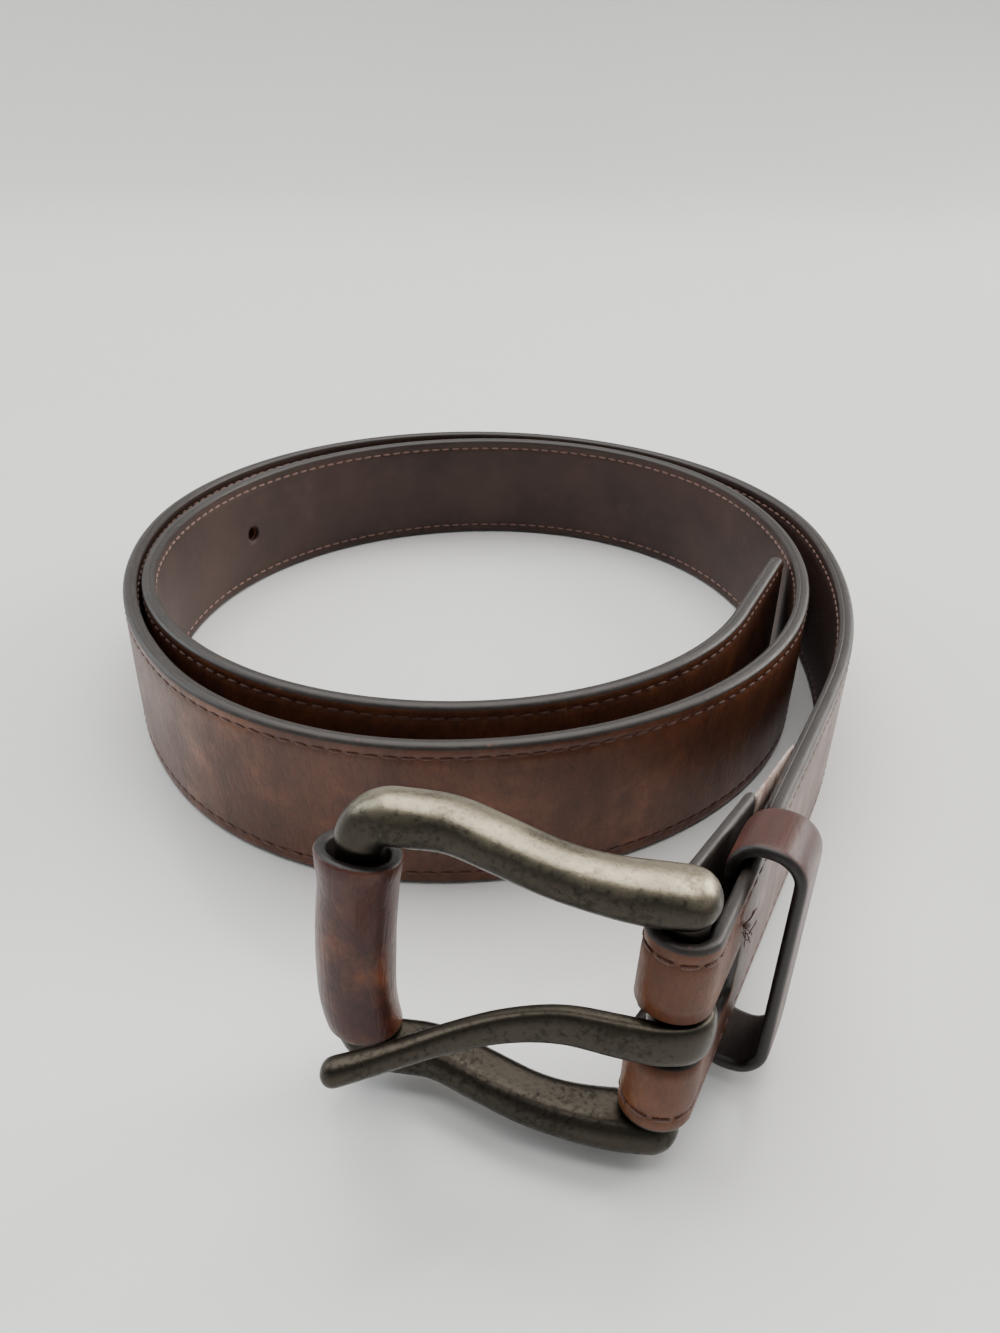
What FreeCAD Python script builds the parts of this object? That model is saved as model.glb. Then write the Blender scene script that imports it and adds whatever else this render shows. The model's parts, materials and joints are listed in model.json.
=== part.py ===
"""Leather belt with a cast heel-bar buckle, coiled twice and standing on its edge.

Millimetres, +Z up. The model is built round the heel bar: its axis is the Z axis while the
pieces are made, and the strap leaves it along +Y. The end of the strap climbs to the buckle,
so the heel bar leans back. At the end every piece gets the same placement, which stands the
coil upright and puts the origin at the middle of the foot of the whole belt.
"""
import FreeCAD, Part, Sketcher
import math
import os

V = FreeCAD.Vector

SIZES = {
    # strap
    "strap_width": 35, "face_thickness": 2.4, "lining_thickness": 1.2,
    "core_thickness": 0.6, "core_margin": 5, "tip_corner": 4.5,
    "stitch_inset": 3, "thread_width": 0.8, "thread_depth": 0.4,
    # the way it lies: a climbing end, a bend to level, a level run, the coil, a straight tail
    "climb_angle": 6, "climb_run": 80, "bend_run": 16.5, "level_run": 1,
    "coil_radius": 80, "tail_run": 40, "lining_start": 40,
    # holes, measured from the tip
    "hole_diameter": 4.9, "hole_pitch": 25, "first_hole": 100, "extra_hole": 305,
    # fold round the heel bar, and the flap that comes back
    "bar_clearance": 0.06, "flap_length": 40, "flap_gap": 1.6,
    "feather_length": 62, "feather_thickness": 0.7, "feather_gap": 0.3,
    "slot_clearance": 0.8, "slot_on_main": 16, "slot_on_flap": 10,
    # buckle
    "heel_bar_diameter": 6.8, "arm_diameter": 8, "arm_gap": 0.5,
    "buckle_reach": 49.4, "buckle_heading": 189.5, "corner_radius": 6,
    "sleeve_thickness": 2, "sleeve_clearance": 0.1, "sleeve_end_gap": 1,
    # prong
    "eye_clearance": 0.08, "eye_wall": 3.4, "eye_height": 7.2, "eye_mouth": 1.5,
    "prong_length": 50.8, "prong_heading": 216.6, "prong_droop": 5,
    # keeper
    "keeper_start": 17, "keeper_width": 13.5, "keeper_thickness": 2.2, "keeper_corner": 3.5,
    "keeper_clearance": 0.4, "keeper_gap": 5.5, "keeper_headroom": 2.6,
    "staple_wire": 0.7, "staple_crown": 9,
}

# The coil from the buckle's end to the tip: each bend's radius beyond the coil's own, and its
# sweep in degrees. Two full turns in all.
BENDS = [(82, 28), (8.5, 177), (37, 39), (-9.5, 55), (11, 66), (28.5, 42), (-5, 67),
         (12, 103), (-0.5, 143)]

# Arm of the buckle seen from above: share of its straight length, and how far it stands to
# the left of the line from the heel bar to the front bar.
ARM_SWAY = [(0, 0), (0.21, 2.0), (0.42, 2.4), (0.64, 0.6), (0.83, -1.2), (1, 0)]

# Prong seen from above: share of its length, side step to the left, thickness and height.
PRONG_STATIONS = [(0.0, 5.2, 4.0, 7.0), (0.16, 1.4, 4.0, 6.8), (0.31, -2.2, 3.8, 6.2),
                  (0.47, -3.1, 3.6, 5.4), (0.63, -2.5, 3.4, 4.7), (0.79, -1.0, 3.2, 4.0),
                  (0.93, -0.4, 3.2, 3.4)]


def make_sheet(document):
    """Spreadsheet with one aliased cell for each driving size."""
    sheet = document.addObject("Spreadsheet::Sheet", "Sizes")
    for row, (alias, value) in enumerate(SIZES.items(), start=1):
        sheet.set(f"A{row}", alias)
        sheet.set(f"B{row}", str(value))
        sheet.setAlias(f"B{row}", alias)
    document.recompute()
    return sheet


def heading_vector(degrees):
    return V(math.cos(math.radians(degrees)), math.sin(math.radians(degrees)), 0)


def left_of(direction):
    return V(-direction.y, direction.x, 0)


def feature(document, name, shape):
    """Part::Feature that holds a shape worked out in code."""
    item = document.addObject("Part::Feature", name)
    item.Shape = shape
    return item


def primitive(document, kind, name, placement=None, **expressions):
    """Part primitive whose sizes are bound to the sheet."""
    item = document.addObject(kind, name)
    for size, expression in expressions.items():
        item.setExpression(size, expression)
    if placement is not None:
        item.Placement = placement
    return item


def boolean(document, name, kind, first, *others):
    """Part::Cut of two objects, or Part::MultiFuse of several."""
    item = document.addObject(kind, name)
    if kind == "Part::Cut":
        item.Base, item.Tool = first, others[0]
    else:
        item.Shapes = [first, *others]
    return item


class Strap:
    """The strap's path, and solids that follow it.

    A depth is measured inwards from the outer face of the leather, and a height from the
    lower edge of the strap. The coil is drawn upright in a frame of its own.
    """

    def __init__(self, s):
        self.s = s
        self.thickness = s.face_thickness + s.lining_thickness
        self.lift = s.arm_diameter + s.arm_gap
        self.fold_inner = s.heel_bar_diameter / 2 + s.bar_clearance
        self.fold_outer = self.fold_inner + s.face_thickness
        self.bend_radius = s.bend_run / math.radians(s.climb_angle)
        self.bends = self.place_bends()
        self.coil_frame = self.place_coil()

    def place_bends(self):
        """Centre, mid-strap radius, first heading and sweep of each bend of the coil."""
        point = V(self.fold_outer - self.thickness / 2, 0, 0)
        heading, placed = 90.0, []
        left_to_turn = sum(sweep for _, sweep in BENDS)
        for extra, sweep in BENDS:
            turns_inside = (left_to_turn - sweep / 2) / 360
            radius = self.s.coil_radius + extra + self.thickness * turns_inside
            centre = point + left_of(heading_vector(heading)) * radius
            placed.append((centre, radius, heading, sweep))
            heading += sweep
            left_to_turn -= sweep
            point = centre - left_of(heading_vector(heading)) * radius
        self.tail_point, self.tail_heading = point, heading
        return placed

    def along_end(self, turn, height, run=0):
        """Point above the heel bar's side of the strap, turned by an angle of the bend."""
        radius = self.bend_radius + self.s.strap_width / 2 - height
        centre = self.lift + self.s.strap_width / 2 + self.bend_radius
        sine, cosine = math.sin(math.radians(turn)), math.cos(math.radians(turn))
        return V(0, self.s.climb_run + radius * sine + run * cosine,
                 centre - radius * cosine + run * sine)

    def place_coil(self):
        """Placement of the upright coil at the end of the level run."""
        start = self.along_end(self.s.climb_angle, 0, self.s.level_run)
        return FreeCAD.Placement(start, FreeCAD.Rotation(V(1, 0, 0), self.s.climb_angle))

    def strap_end(self, depths, heights, start):
        """The strap from a distance along its climbing end to the coil."""
        angle, low, high = self.s.climb_angle, heights[0], heights[1]
        corners = [self.along_end(angle, height, self.s.level_run) for height in heights]
        edges = [Part.makeLine(corners[0], corners[1])]
        for height, corner in zip((high, low), reversed(corners)):
            ends = [self.along_end(angle * share, height) for share in (0, 0.5, 1)]
            edges.append(Part.makeLine(corner, ends[2]))
            edges.append(Part.Arc(*ends).toShape())
            if start < self.s.climb_run:
                edges.append(Part.makeLine(ends[0], V(0, start, self.lift + height)))
        edges.append(Part.makeLine(V(0, start, self.lift + low), V(0, start, self.lift + high)))
        face = Part.Face(Part.Wire(Part.sortEdges(edges)[0]))
        face.translate(V(self.fold_outer - depths[1], 0, 0))
        return face.extrude(V(depths[1] - depths[0], 0, 0))

    def bend_edge(self, bend, depth):
        """Arc of one bend at a depth."""
        centre, radius, heading, sweep = bend
        radius += self.thickness / 2 - depth
        ends = [centre - left_of(heading_vector(heading + sweep * share)) * radius
                for share in (0, 0.5, 1)]
        return Part.Arc(*ends).toShape()

    def coil(self, depths, heights):
        """The bends as one solid."""
        rows = [[self.bend_edge(bend, depth) for bend in self.bends] for depth in depths]
        caps = [Part.makeLine(rows[0][i].Vertexes[i].Point, rows[1][i].Vertexes[i].Point)
                for i in (0, -1)]
        face = Part.Face(Part.Wire(Part.sortEdges(rows[0] + rows[1] + caps)[0]))
        face.translate(V(0, 0, heights[0]))
        return face.extrude(V(0, 0, heights[1] - heights[0]))

    def tail(self, depths, heights, tip_gap):
        """The straight end, with rounded corners where it is the tip itself."""
        length = self.s.tail_run - tip_gap
        box = Part.makeBox(depths[1] - depths[0], length, heights[1] - heights[0],
                           V(depths[0] - self.thickness / 2, 0, heights[0]))
        if tip_gap == 0:
            corners = [e for e in box.Edges if abs(e.CenterOfMass.y - length) < 1e-6
                       and abs(e.tangentAt(e.FirstParameter).x) > 0.9]
            box = box.makeFillet(self.s.tip_corner, corners)
        # the box is drawn with depth along +X, so it is turned over to the strap's left
        box.rotate(V(), V(0, 0, 1), self.tail_heading - 90)
        mirrored = box.mirror(V(), left_of(heading_vector(self.tail_heading)))
        return mirrored.translated(self.tail_point)

    def layer(self, depths, heights, tip_gap=0, start=None):
        """A layer of the strap from a distance along its climbing end to the tip."""
        start = self.s.lining_start if start is None else start
        coil = self.coil(depths, heights).fuse(self.tail(depths, heights, tip_gap))
        coil.Placement = self.coil_frame
        return coil.fuse(self.strap_end(depths, heights, start)).removeSplitter()

    def point_from_tip(self, distance):
        """Mid-strap point and heading at a distance from the tip."""
        distance -= self.s.tail_run
        for centre, radius, heading, sweep in reversed(self.bends):
            length = radius * math.radians(sweep)
            if distance <= length:
                turned = heading + sweep * (1 - distance / length)
                return centre - left_of(heading_vector(turned)) * radius, turned
            distance -= length
        raise ValueError("a hole lies beyond the coil")

    def hole(self, distance):
        """Round cutter through the strap."""
        point, heading = self.point_from_tip(distance)
        across = left_of(heading_vector(heading))
        middle = V(point.x, point.y, self.s.strap_width / 2)
        return Part.makeCylinder(self.s.hole_diameter / 2, 3 * self.thickness,
                                 middle - across * (1.5 * self.thickness), across)

    def holes(self):
        distances = [self.s.first_hole + i * self.s.hole_pitch for i in range(5)]
        cutters = Part.makeCompound([self.hole(d) for d in distances + [self.s.extra_hole]])
        cutters.Placement = self.coil_frame
        return cutters

    def fold(self):
        """The face leather round the heel bar, with the flap and its feathered end."""
        s = self.s
        lining = self.fold_inner - s.lining_thickness
        corner = V(lining - s.flap_gap, s.flap_length, 0)
        reach = math.hypot(corner.x, corner.y)
        tilt = math.asin(self.fold_inner / reach) + math.atan2(corner.x, corner.y)
        along, out = V(math.sin(tilt), math.cos(tilt), 0), V(-math.cos(tilt), math.sin(tilt), 0)
        inner, outer = self.fold_inner, self.fold_outer
        flap_end = corner + out * s.face_thickness
        tip = V(lining - s.feather_gap, s.feather_length, 0)
        feather = corner + out * s.feather_thickness
        tip_out = tip + out * s.feather_thickness
        edges = [
            Part.Arc(V(outer, 0, 0), V(0, -outer, 0), out * outer).toShape(),
            Part.makeLine(out * outer, flap_end),
            Part.makeLine(flap_end, feather),
            Part.makeLine(feather, tip_out),
            Part.makeLine(tip_out, tip),
            Part.makeLine(tip, corner),
            Part.makeLine(corner, out * inner),
            Part.Arc(out * inner, V(0, -inner, 0), V(inner, 0, 0)).toShape(),
            Part.makeLine(V(inner, 0, 0), V(outer, 0, 0)),
        ]
        face = Part.Face(Part.Wire(edges))
        face.translate(V(0, 0, self.lift))
        return face.extrude(V(0, 0, s.strap_width))

    def prong_slot(self):
        """Cutter for the slot that lets the prong swing."""
        s = self.s
        height = s.eye_height + 2 * s.slot_clearance
        low = self.lift + (s.strap_width - height) / 2
        outer = self.fold_outer + 1
        main = Part.makeBox(outer, s.slot_on_main + outer, height, V(0, -outer, low))
        flap = Part.makeBox(outer, s.slot_on_flap + outer, height, V(-outer, -outer, low))
        return main.fuse(flap)

    def threads(self, height):
        """Needle thread in the face and bobbin thread in the lining, at one height."""
        s = self.s
        heights = (height - s.thread_width / 2, height + s.thread_width / 2)
        face = self.layer((0, s.thread_depth), heights, s.stitch_inset)
        lining = self.layer((self.thickness - s.thread_depth, self.thickness), heights,
                            s.stitch_inset)
        return Part.makeCompound([face, lining])


def make_strap(document, s):
    """Face leather, lining, core and the two stitch rows."""
    strap = Strap(s)
    width = (0, s.strap_width)
    core_heights = (s.core_margin, s.strap_width - s.core_margin)
    core_depths = (s.face_thickness - s.core_thickness, s.face_thickness)
    holes = strap.holes()

    core = strap.layer(core_depths, core_heights, s.core_margin)
    lower = strap.threads(s.stitch_inset)
    upper = strap.threads(s.strap_width - s.stitch_inset)
    face = strap.layer((0, s.face_thickness), width, start=0)
    face = face.fuse(strap.fold()).removeSplitter()
    face = face.cut([core, lower, upper, strap.prong_slot(), holes])
    lining = strap.layer((s.face_thickness, strap.thickness), width)
    lining = lining.cut([lower, upper, holes])

    return {
        "strap_face": feature(document, "StrapFace", face),
        "strap_lining": feature(document, "StrapLining", lining),
        "strap_core": feature(document, "StrapCore", core.cut(holes)),
        "stitch_row_upper": feature(document, "StitchRowUpper", upper),
        "stitch_row_lower": feature(document, "StitchRowLower", lower),
    }


def buckle_height(s):
    return s.strap_width + 2 * (s.arm_gap + s.arm_diameter)


def frame_loop(s):
    """Round bar bent into two swaying arms and the front bar."""
    along = heading_vector(s.buckle_heading)
    left = left_of(along)
    radius = s.arm_diameter / 2
    straight = s.buckle_reach - s.corner_radius
    top = buckle_height(s) - radius
    inset = s.corner_radius * (1 - math.sqrt(0.5))

    def arm(height):
        points = [along * (share * straight) + left * side + V(0, 0, height)
                  for share, side in ARM_SWAY]
        curve = Part.BSplineCurve()
        curve.interpolate(Points=points, InitialTangent=along + left * 0.3, FinalTangent=along)
        return curve.toShape()

    def at(run, height):
        return along * run + V(0, 0, height)

    upper_corner = Part.Arc(at(straight, top), at(s.buckle_reach - inset, top - inset),
                            at(s.buckle_reach, top - s.corner_radius)).toShape()
    lower_corner = Part.Arc(at(s.buckle_reach, radius + s.corner_radius),
                            at(s.buckle_reach - inset, radius + inset),
                            at(straight, radius)).toShape()
    front = Part.makeLine(at(s.buckle_reach, top - s.corner_radius),
                          at(s.buckle_reach, radius + s.corner_radius))
    path = Part.Wire([arm(top), upper_corner, front, lower_corner, arm(radius)])
    section = Part.Wire(Part.makeCircle(radius, V(0, 0, top), along + left * 0.3))
    return path.makePipeShell([section], True, False)


def make_buckle(document, s):
    """Cast frame: the bent loop, the heel bar and two round ends."""
    rounds = []
    for name, height in (("LowerEnd", "Sizes.arm_diameter / 2"),
                         ("UpperEnd", "Sizes.strap_width + 2 * Sizes.arm_gap"
                                      " + 1.5 * Sizes.arm_diameter")):
        end = primitive(document, "Part::Sphere", name, Radius="Sizes.arm_diameter / 2")
        end.setExpression("Placement.Base.z", height)
        rounds.append(end)
    heel = primitive(document, "Part::Cylinder", "HeelBar",
                     Radius="Sizes.heel_bar_diameter / 2",
                     Height="Sizes.strap_width + 2 * Sizes.arm_gap + Sizes.arm_diameter")
    heel.setExpression("Placement.Base.z", "Sizes.arm_diameter / 2")
    loop = feature(document, "FrameLoop", frame_loop(s))
    return boolean(document, "BuckleFrame", "Part::MultiFuse", loop, heel, *rounds)


def make_sleeve(document, s):
    """Leather tube round the front bar, a padded ring on a sketch."""
    body = document.addObject("PartDesign::Body", "SleeveBody")
    sketch = body.newObject("Sketcher::SketchObject", "SleeveSection")
    sketch.AttachmentSupport = (plane_of(body, "XY_Plane"), [""])
    sketch.MapMode = "FlatFace"
    inner = "Sizes.arm_diameter / 2 + Sizes.sleeve_clearance"
    for index, radius in enumerate((inner, inner + " + Sizes.sleeve_thickness")):
        sketch.addGeometry(Part.Circle(V(), V(0, 0, 1), 5 + index))
        sketch.addConstraint(Sketcher.Constraint("Coincident", index, 3, -1, 1))
        number = sketch.addConstraint(Sketcher.Constraint("Radius", index, 5 + index))
        sketch.setExpression(f"Constraints[{number}]", radius)
    pad = body.newObject("PartDesign::Pad", "SleevePad")
    pad.Profile = sketch
    pad.setExpression("Length", "Sizes.strap_width + 2 * Sizes.arm_gap + Sizes.arm_diameter"
                                " - 2 * (Sizes.corner_radius + Sizes.sleeve_end_gap)")
    foot = s.arm_diameter / 2 + s.corner_radius + s.sleeve_end_gap
    body.Placement.Base = heading_vector(s.buckle_heading) * s.buckle_reach + V(0, 0, foot)
    return body


def plane_of(body, role):
    return next(item for item in body.Origin.OriginFeatures if item.Role == role)


def prong_shank(s):
    """Loft of ellipses along the prong, closed by a round tip."""
    along = heading_vector(s.prong_heading)
    left = left_of(along)
    middle = buckle_height(s) / 2

    def centre(share, side):
        drop = V(0, 0, middle - s.prong_droop * share)
        return along * (share * s.prong_length) + left * side + drop

    points = [centre(share, side) for share, side, _, _ in PRONG_STATIONS]
    sections = []
    for index, (_, _, thickness, height) in enumerate(PRONG_STATIONS):
        before, after = points[max(index - 1, 0)], points[min(index + 1, len(points) - 1)]
        course = (after - before).normalize()
        side = left_of(course).normalize()
        upright = course.cross(side)
        if height >= thickness:
            ellipse = Part.Ellipse(V(), height / 2, thickness / 2)
            frame = FreeCAD.Rotation(upright, side, course, "ZXY")
        else:
            ellipse = Part.Ellipse(V(), thickness / 2, height / 2)
            frame = FreeCAD.Rotation(side, upright, course, "ZXY")
        wire = Part.Wire(ellipse.toShape())
        wire.Placement = FreeCAD.Placement(points[index], frame)
        sections.append(wire)
    thickness = PRONG_STATIONS[-1][2]
    tip = Part.makeSphere(thickness / 2, points[-1])
    return Part.makeLoft(sections, True).fuse(tip)


def make_prong(document, s):
    """Eye round the heel bar, open behind, with the shank."""
    low = (buckle_height(s) - s.eye_height) / 2
    base = FreeCAD.Placement(V(0, 0, low), FreeCAD.Rotation())
    bore = "Sizes.heel_bar_diameter / 2 + Sizes.eye_clearance"
    ring = primitive(document, "Part::Cylinder", "EyeOutside", base,
                     Radius=bore + " + Sizes.eye_wall", Height="Sizes.eye_height")
    hole = primitive(document, "Part::Cylinder", "EyeBore", base,
                     Radius=bore, Height="Sizes.eye_height")
    shank = feature(document, "ProngShank", prong_shank(s))
    turned = FreeCAD.Rotation(V(0, 0, 1), s.prong_heading)
    corner = left_of(heading_vector(s.prong_heading)) * (-s.heel_bar_diameter / 2 - s.eye_wall - 1)
    mouth = primitive(document, "Part::Box", "EyeMouth",
                      FreeCAD.Placement(corner + V(0, 0, low), turned),
                      Length="Sizes.eye_mouth", Width="Sizes.eye_wall + 2",
                      Height="Sizes.eye_height")
    solid = boolean(document, "ProngSolid", "Part::MultiFuse", ring, shank)
    open_ring = boolean(document, "ProngOpen", "Part::Cut", solid, mouth)
    return boolean(document, "Prong", "Part::Cut", open_ring, hole)


def rounded_rectangle(sketch, left, right, low, high, radius, first):
    """Four lines and four arcs, as plain geometry, with their joints made coincident."""
    corners = [(right, high, 0), (left, high, 90), (left, low, 180), (right, low, 270)]
    centres = [V(x - math.copysign(radius, x - (left + right) / 2),
                 y - math.copysign(radius, y - (low + high) / 2), 0) for x, y, _ in corners]
    for centre, (_, _, start) in zip(centres, corners):
        circle = Part.Circle(centre, V(0, 0, 1), radius)
        sketch.addGeometry(Part.ArcOfCircle(circle, math.radians(start),
                                            math.radians(start + 90)))
    for index in range(4):
        start = centres[index] + heading_vector(90 * (index + 1)) * radius
        end = centres[(index + 1) % 4] + heading_vector(90 * (index + 1)) * radius
        sketch.addGeometry(Part.LineSegment(start, end))
        line = first + 4 + index
        sketch.addConstraint(Sketcher.Constraint("Coincident", first + index, 2, line, 1))
        sketch.addConstraint(Sketcher.Constraint("Coincident", line, 2, first + (index + 1) % 4, 1))


def make_keeper(document, s):
    """Closed band round the strap, and the staple that closes it behind the flap."""
    strap = Strap(s)
    inside = strap.fold_inner - s.keeper_clearance
    outside = strap.fold_outer + s.keeper_gap
    low = strap.lift - s.keeper_headroom
    high = strap.lift + s.strap_width + s.keeper_headroom
    wall = s.keeper_thickness

    body = document.addObject("PartDesign::Body", "KeeperBody")
    sketch = body.newObject("Sketcher::SketchObject", "KeeperSection")
    sketch.AttachmentSupport = (plane_of(body, "XZ_Plane"), [""])
    sketch.MapMode = "FlatFace"
    rounded_rectangle(sketch, inside - wall, outside + wall, low - wall, high + wall,
                      s.keeper_corner + wall, 0)
    rounded_rectangle(sketch, inside, outside, low, high, s.keeper_corner, 8)
    pad = body.newObject("PartDesign::Pad", "KeeperPad")
    pad.Profile = sketch
    pad.setExpression("Length", "Sizes.keeper_width")
    body.Placement.Base = V(0, s.keeper_start + s.keeper_width, 0)

    wire = s.staple_wire
    middle = V(inside - wall, s.keeper_start + s.keeper_width / 2, (low + high) / 2)
    crown = Part.makeBox(wire, wire, s.staple_crown,
                         middle + V(-wire, -wire / 2, -s.staple_crown / 2))
    legs = [Part.makeBox(wall, wire, wire,
                         middle + V(0, -wire / 2, side * (s.staple_crown - wire) / 2 - wire / 2))
            for side in (-1, 1)]
    staple = feature(document, "KeeperStaple", crown.multiFuse(legs).removeSplitter())
    pricks = feature(document, "StapleHoles", Part.makeCompound(legs))
    band = boolean(document, "KeeperBand", "Part::Cut", body, pricks)
    return {"keeper_band": band, "keeper_staple": staple}


def check(document):
    """Stop at any failed object or bad shape."""
    for item in document.Objects:
        if any(word in item.State for word in ("Invalid", "Error")):
            raise RuntimeError(f"{item.Name} failed: {item.State}")


def main():
    document = FreeCAD.newDocument("Belt")
    sheet = make_sheet(document)
    pieces = make_strap(document, sheet)
    pieces["buckle_frame"] = make_buckle(document, sheet)
    pieces["bar_sleeve"] = make_sleeve(document, sheet)
    pieces["prong"] = make_prong(document, sheet)
    pieces.update(make_keeper(document, sheet))
    document.recompute()
    check(document)

    foot = Strap(sheet).coil_frame.inverse()
    upright = FreeCAD.Placement(V(0, 0, foot.Base.z), foot.Rotation)
    for label, item in pieces.items():
        item.Label = label
        item.Placement = upright.multiply(item.Placement)
    document.recompute()
    box = FreeCAD.BoundBox()
    for item in pieces.values():
        box.add(item.Shape.optimalBoundingBox(False))
    shift = V(-box.Center.x, -box.Center.y, -box.ZMin)
    for item in pieces.values():
        item.Placement.Base = item.Placement.Base + shift
    document.recompute()
    check(document)
    os.makedirs("parts", exist_ok=True)
    for label, item in pieces.items():
        if item.Shape.isNull() or not item.Shape.isValid():
            raise RuntimeError(f"{label} has a bad shape")
        item.Shape.exportStep(f"parts/{label}.step")
        extent = item.Shape.optimalBoundingBox(False)
        print(f"{label}: {len(item.Shape.Solids)} solids, {item.Shape.Volume:.0f} mm3, {extent}")
    heel = shift + upright.Base
    print(f"foot of the heel bar's axis at {heel.x:.3f}, {heel.y:.3f}, {heel.z:.3f}")


main()
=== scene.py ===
"""Looks of a coiled brown leather belt with an antiqued heel-bar buckle.

Sizes are in millimetres in the heel bar's own frame: its axis is Z, and the strap leaves it
along +Y. The heel bar leans back, and ``Bench.place`` puts every point in the frame's metres.
"""

import json
import logging
import math
import random
from dataclasses import dataclass
from enum import Enum, IntEnum
from typing import Callable, Sequence

import bmesh
import bpy
from mathutils import Matrix, Vector

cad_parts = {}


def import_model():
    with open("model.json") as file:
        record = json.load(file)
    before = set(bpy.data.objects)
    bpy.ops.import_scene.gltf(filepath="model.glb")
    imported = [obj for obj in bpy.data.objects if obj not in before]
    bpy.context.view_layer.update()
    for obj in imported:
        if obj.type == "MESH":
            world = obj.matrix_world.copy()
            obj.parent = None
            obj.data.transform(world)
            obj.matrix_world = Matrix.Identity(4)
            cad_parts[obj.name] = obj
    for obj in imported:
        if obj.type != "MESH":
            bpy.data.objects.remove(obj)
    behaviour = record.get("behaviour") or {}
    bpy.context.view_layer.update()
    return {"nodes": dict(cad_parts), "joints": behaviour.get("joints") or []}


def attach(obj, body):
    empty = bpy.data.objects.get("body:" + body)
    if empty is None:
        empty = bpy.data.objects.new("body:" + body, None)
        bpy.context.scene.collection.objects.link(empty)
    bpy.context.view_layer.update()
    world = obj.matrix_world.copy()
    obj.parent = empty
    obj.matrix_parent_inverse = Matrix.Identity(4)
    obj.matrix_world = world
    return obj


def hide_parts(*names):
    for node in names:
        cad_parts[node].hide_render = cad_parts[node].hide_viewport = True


log = logging.getLogger("belt")
MM = 0.001
UP = Vector((0, 0, 1))
SEAM = 1e-7  # metres within which the two edges of a seam are one
DEPTH_STEP = 3  # millimetres of V between the outer and the inner side of a layer


class Side(IntEnum):
    """Which of a leather piece's finishes a face takes."""

    LEATHER = 0
    EDGE = 1
    HIDDEN = 2
    FOLD = 3


# --- small helpers -----------------------------------------------------------------------

def smooth_step(low: float, high: float, value: float) -> float:
    """Smooth rise from 0 at low to 1 at high."""
    share = min(max((value - low) / (high - low), 0.0), 1.0)
    return share * share * (3 - 2 * share)


def bump_at(middle: float, half_width: float, value: float) -> float:
    """Smooth hump of height 1 at middle that ends half_width away."""
    return smooth_step(half_width, 0, abs(value - middle)) if half_width else 0.0


def heading_vector(degrees: float) -> Vector:
    """Unit vector in plan at an angle from +X."""
    return Vector((math.cos(math.radians(degrees)), math.sin(math.radians(degrees)), 0))


def left_of(direction: Vector) -> Vector:
    """Direction turned a quarter to the left in plan."""
    return Vector((-direction.y, direction.x, 0))


def eased(stations: Sequence[Sequence[float]], share: float) -> list[float]:
    """Values between stations, by a smooth curve through them.

    Args:
        stations: rows whose first entry is the share along, rising, and the rest values.
        share: where to read.

    Returns:
        One value for each column after the first.
    """
    last = len(stations) - 1
    index = max(i for i in range(last) if stations[i][0] <= max(share, stations[0][0]))
    before, start = stations[max(index - 1, 0)], stations[index]
    end, after = stations[index + 1], stations[min(index + 2, last)]
    span = end[0] - start[0]
    part = min(max((share - start[0]) / span, 0.0), 1.0)
    values = []
    for column in range(1, len(start)):
        slope_in = (end[column] - before[column]) / (end[0] - before[0]) * span
        slope_out = (after[column] - start[column]) / (after[0] - start[0]) * span
        square, cube = part * part, part ** 3
        values.append(start[column] * (2 * cube - 3 * square + 1)
                      + slope_in * (cube - 2 * square + part)
                      + end[column] * (3 * square - 2 * cube) + slope_out * (cube - square))
    return values


def new_object(name: str, mesh: bmesh.types.BMesh) -> bpy.types.Object:
    """Object with smooth faces, made from a bmesh, which is freed."""
    for face in mesh.faces:
        face.smooth = True
    data = bpy.data.meshes.new(name)
    mesh.to_mesh(data)
    mesh.free()
    item = bpy.data.objects.new(name, data)
    bpy.context.scene.collection.objects.link(item)
    return item


@dataclass
class Bench:
    """Where the heel bar stands in the frame, and the way to make a finished piece."""

    middle: Vector
    axis: Vector
    mid_height: float = 26

    def __post_init__(self) -> None:
        """Works out the placement of the heel bar's frame."""
        side = Vector((1, 0, 0))
        run = self.axis.cross(side)
        turn = Matrix((side, run, self.axis)).transposed()
        foot = self.middle - self.axis * self.mid_height * MM
        self.frame = Matrix.Translation(foot) @ turn.to_4x4() @ Matrix.Scale(MM, 4)

    def place(self, point: Vector) -> Vector:
        """Point of the heel bar's frame, in millimetres, as metres in the part's frame."""
        return self.frame @ point

    def finish(self, name: str, mesh: bmesh.types.BMesh, body: str,
               finishes: Sequence[bpy.types.Material], slot: str,
               replaced: Sequence[str] = (), rounded: bool = False) -> bpy.types.Object:
        """Turns a bmesh into a piece that rides on a body.

        Args:
            name: the piece's name.
            mesh: the finished bmesh, in metres; it is freed.
            body: the CAD body that carries the piece.
            finishes: materials, in the order of the faces' material indices.
            slot: the record's material slot; not used.
            replaced: CAD nodes that the piece stands for.
            rounded: whether one level of subdivision rounds the piece.

        Returns:
            The new object.
        """
        bmesh.ops.recalc_face_normals(mesh, faces=mesh.faces[:])
        piece = new_object(name, mesh)
        for finish in finishes:
            piece.data.materials.append(finish)
        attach(piece, body)
        if replaced:
            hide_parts(*replaced)
        if rounded:
            soften = piece.modifiers.new("soften", "SUBSURF")
            soften.levels = 1
            soften.render_levels = 1
        log.info("%s: %d faces on %s", name, len(piece.data.polygons), body)
        return piece


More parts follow.
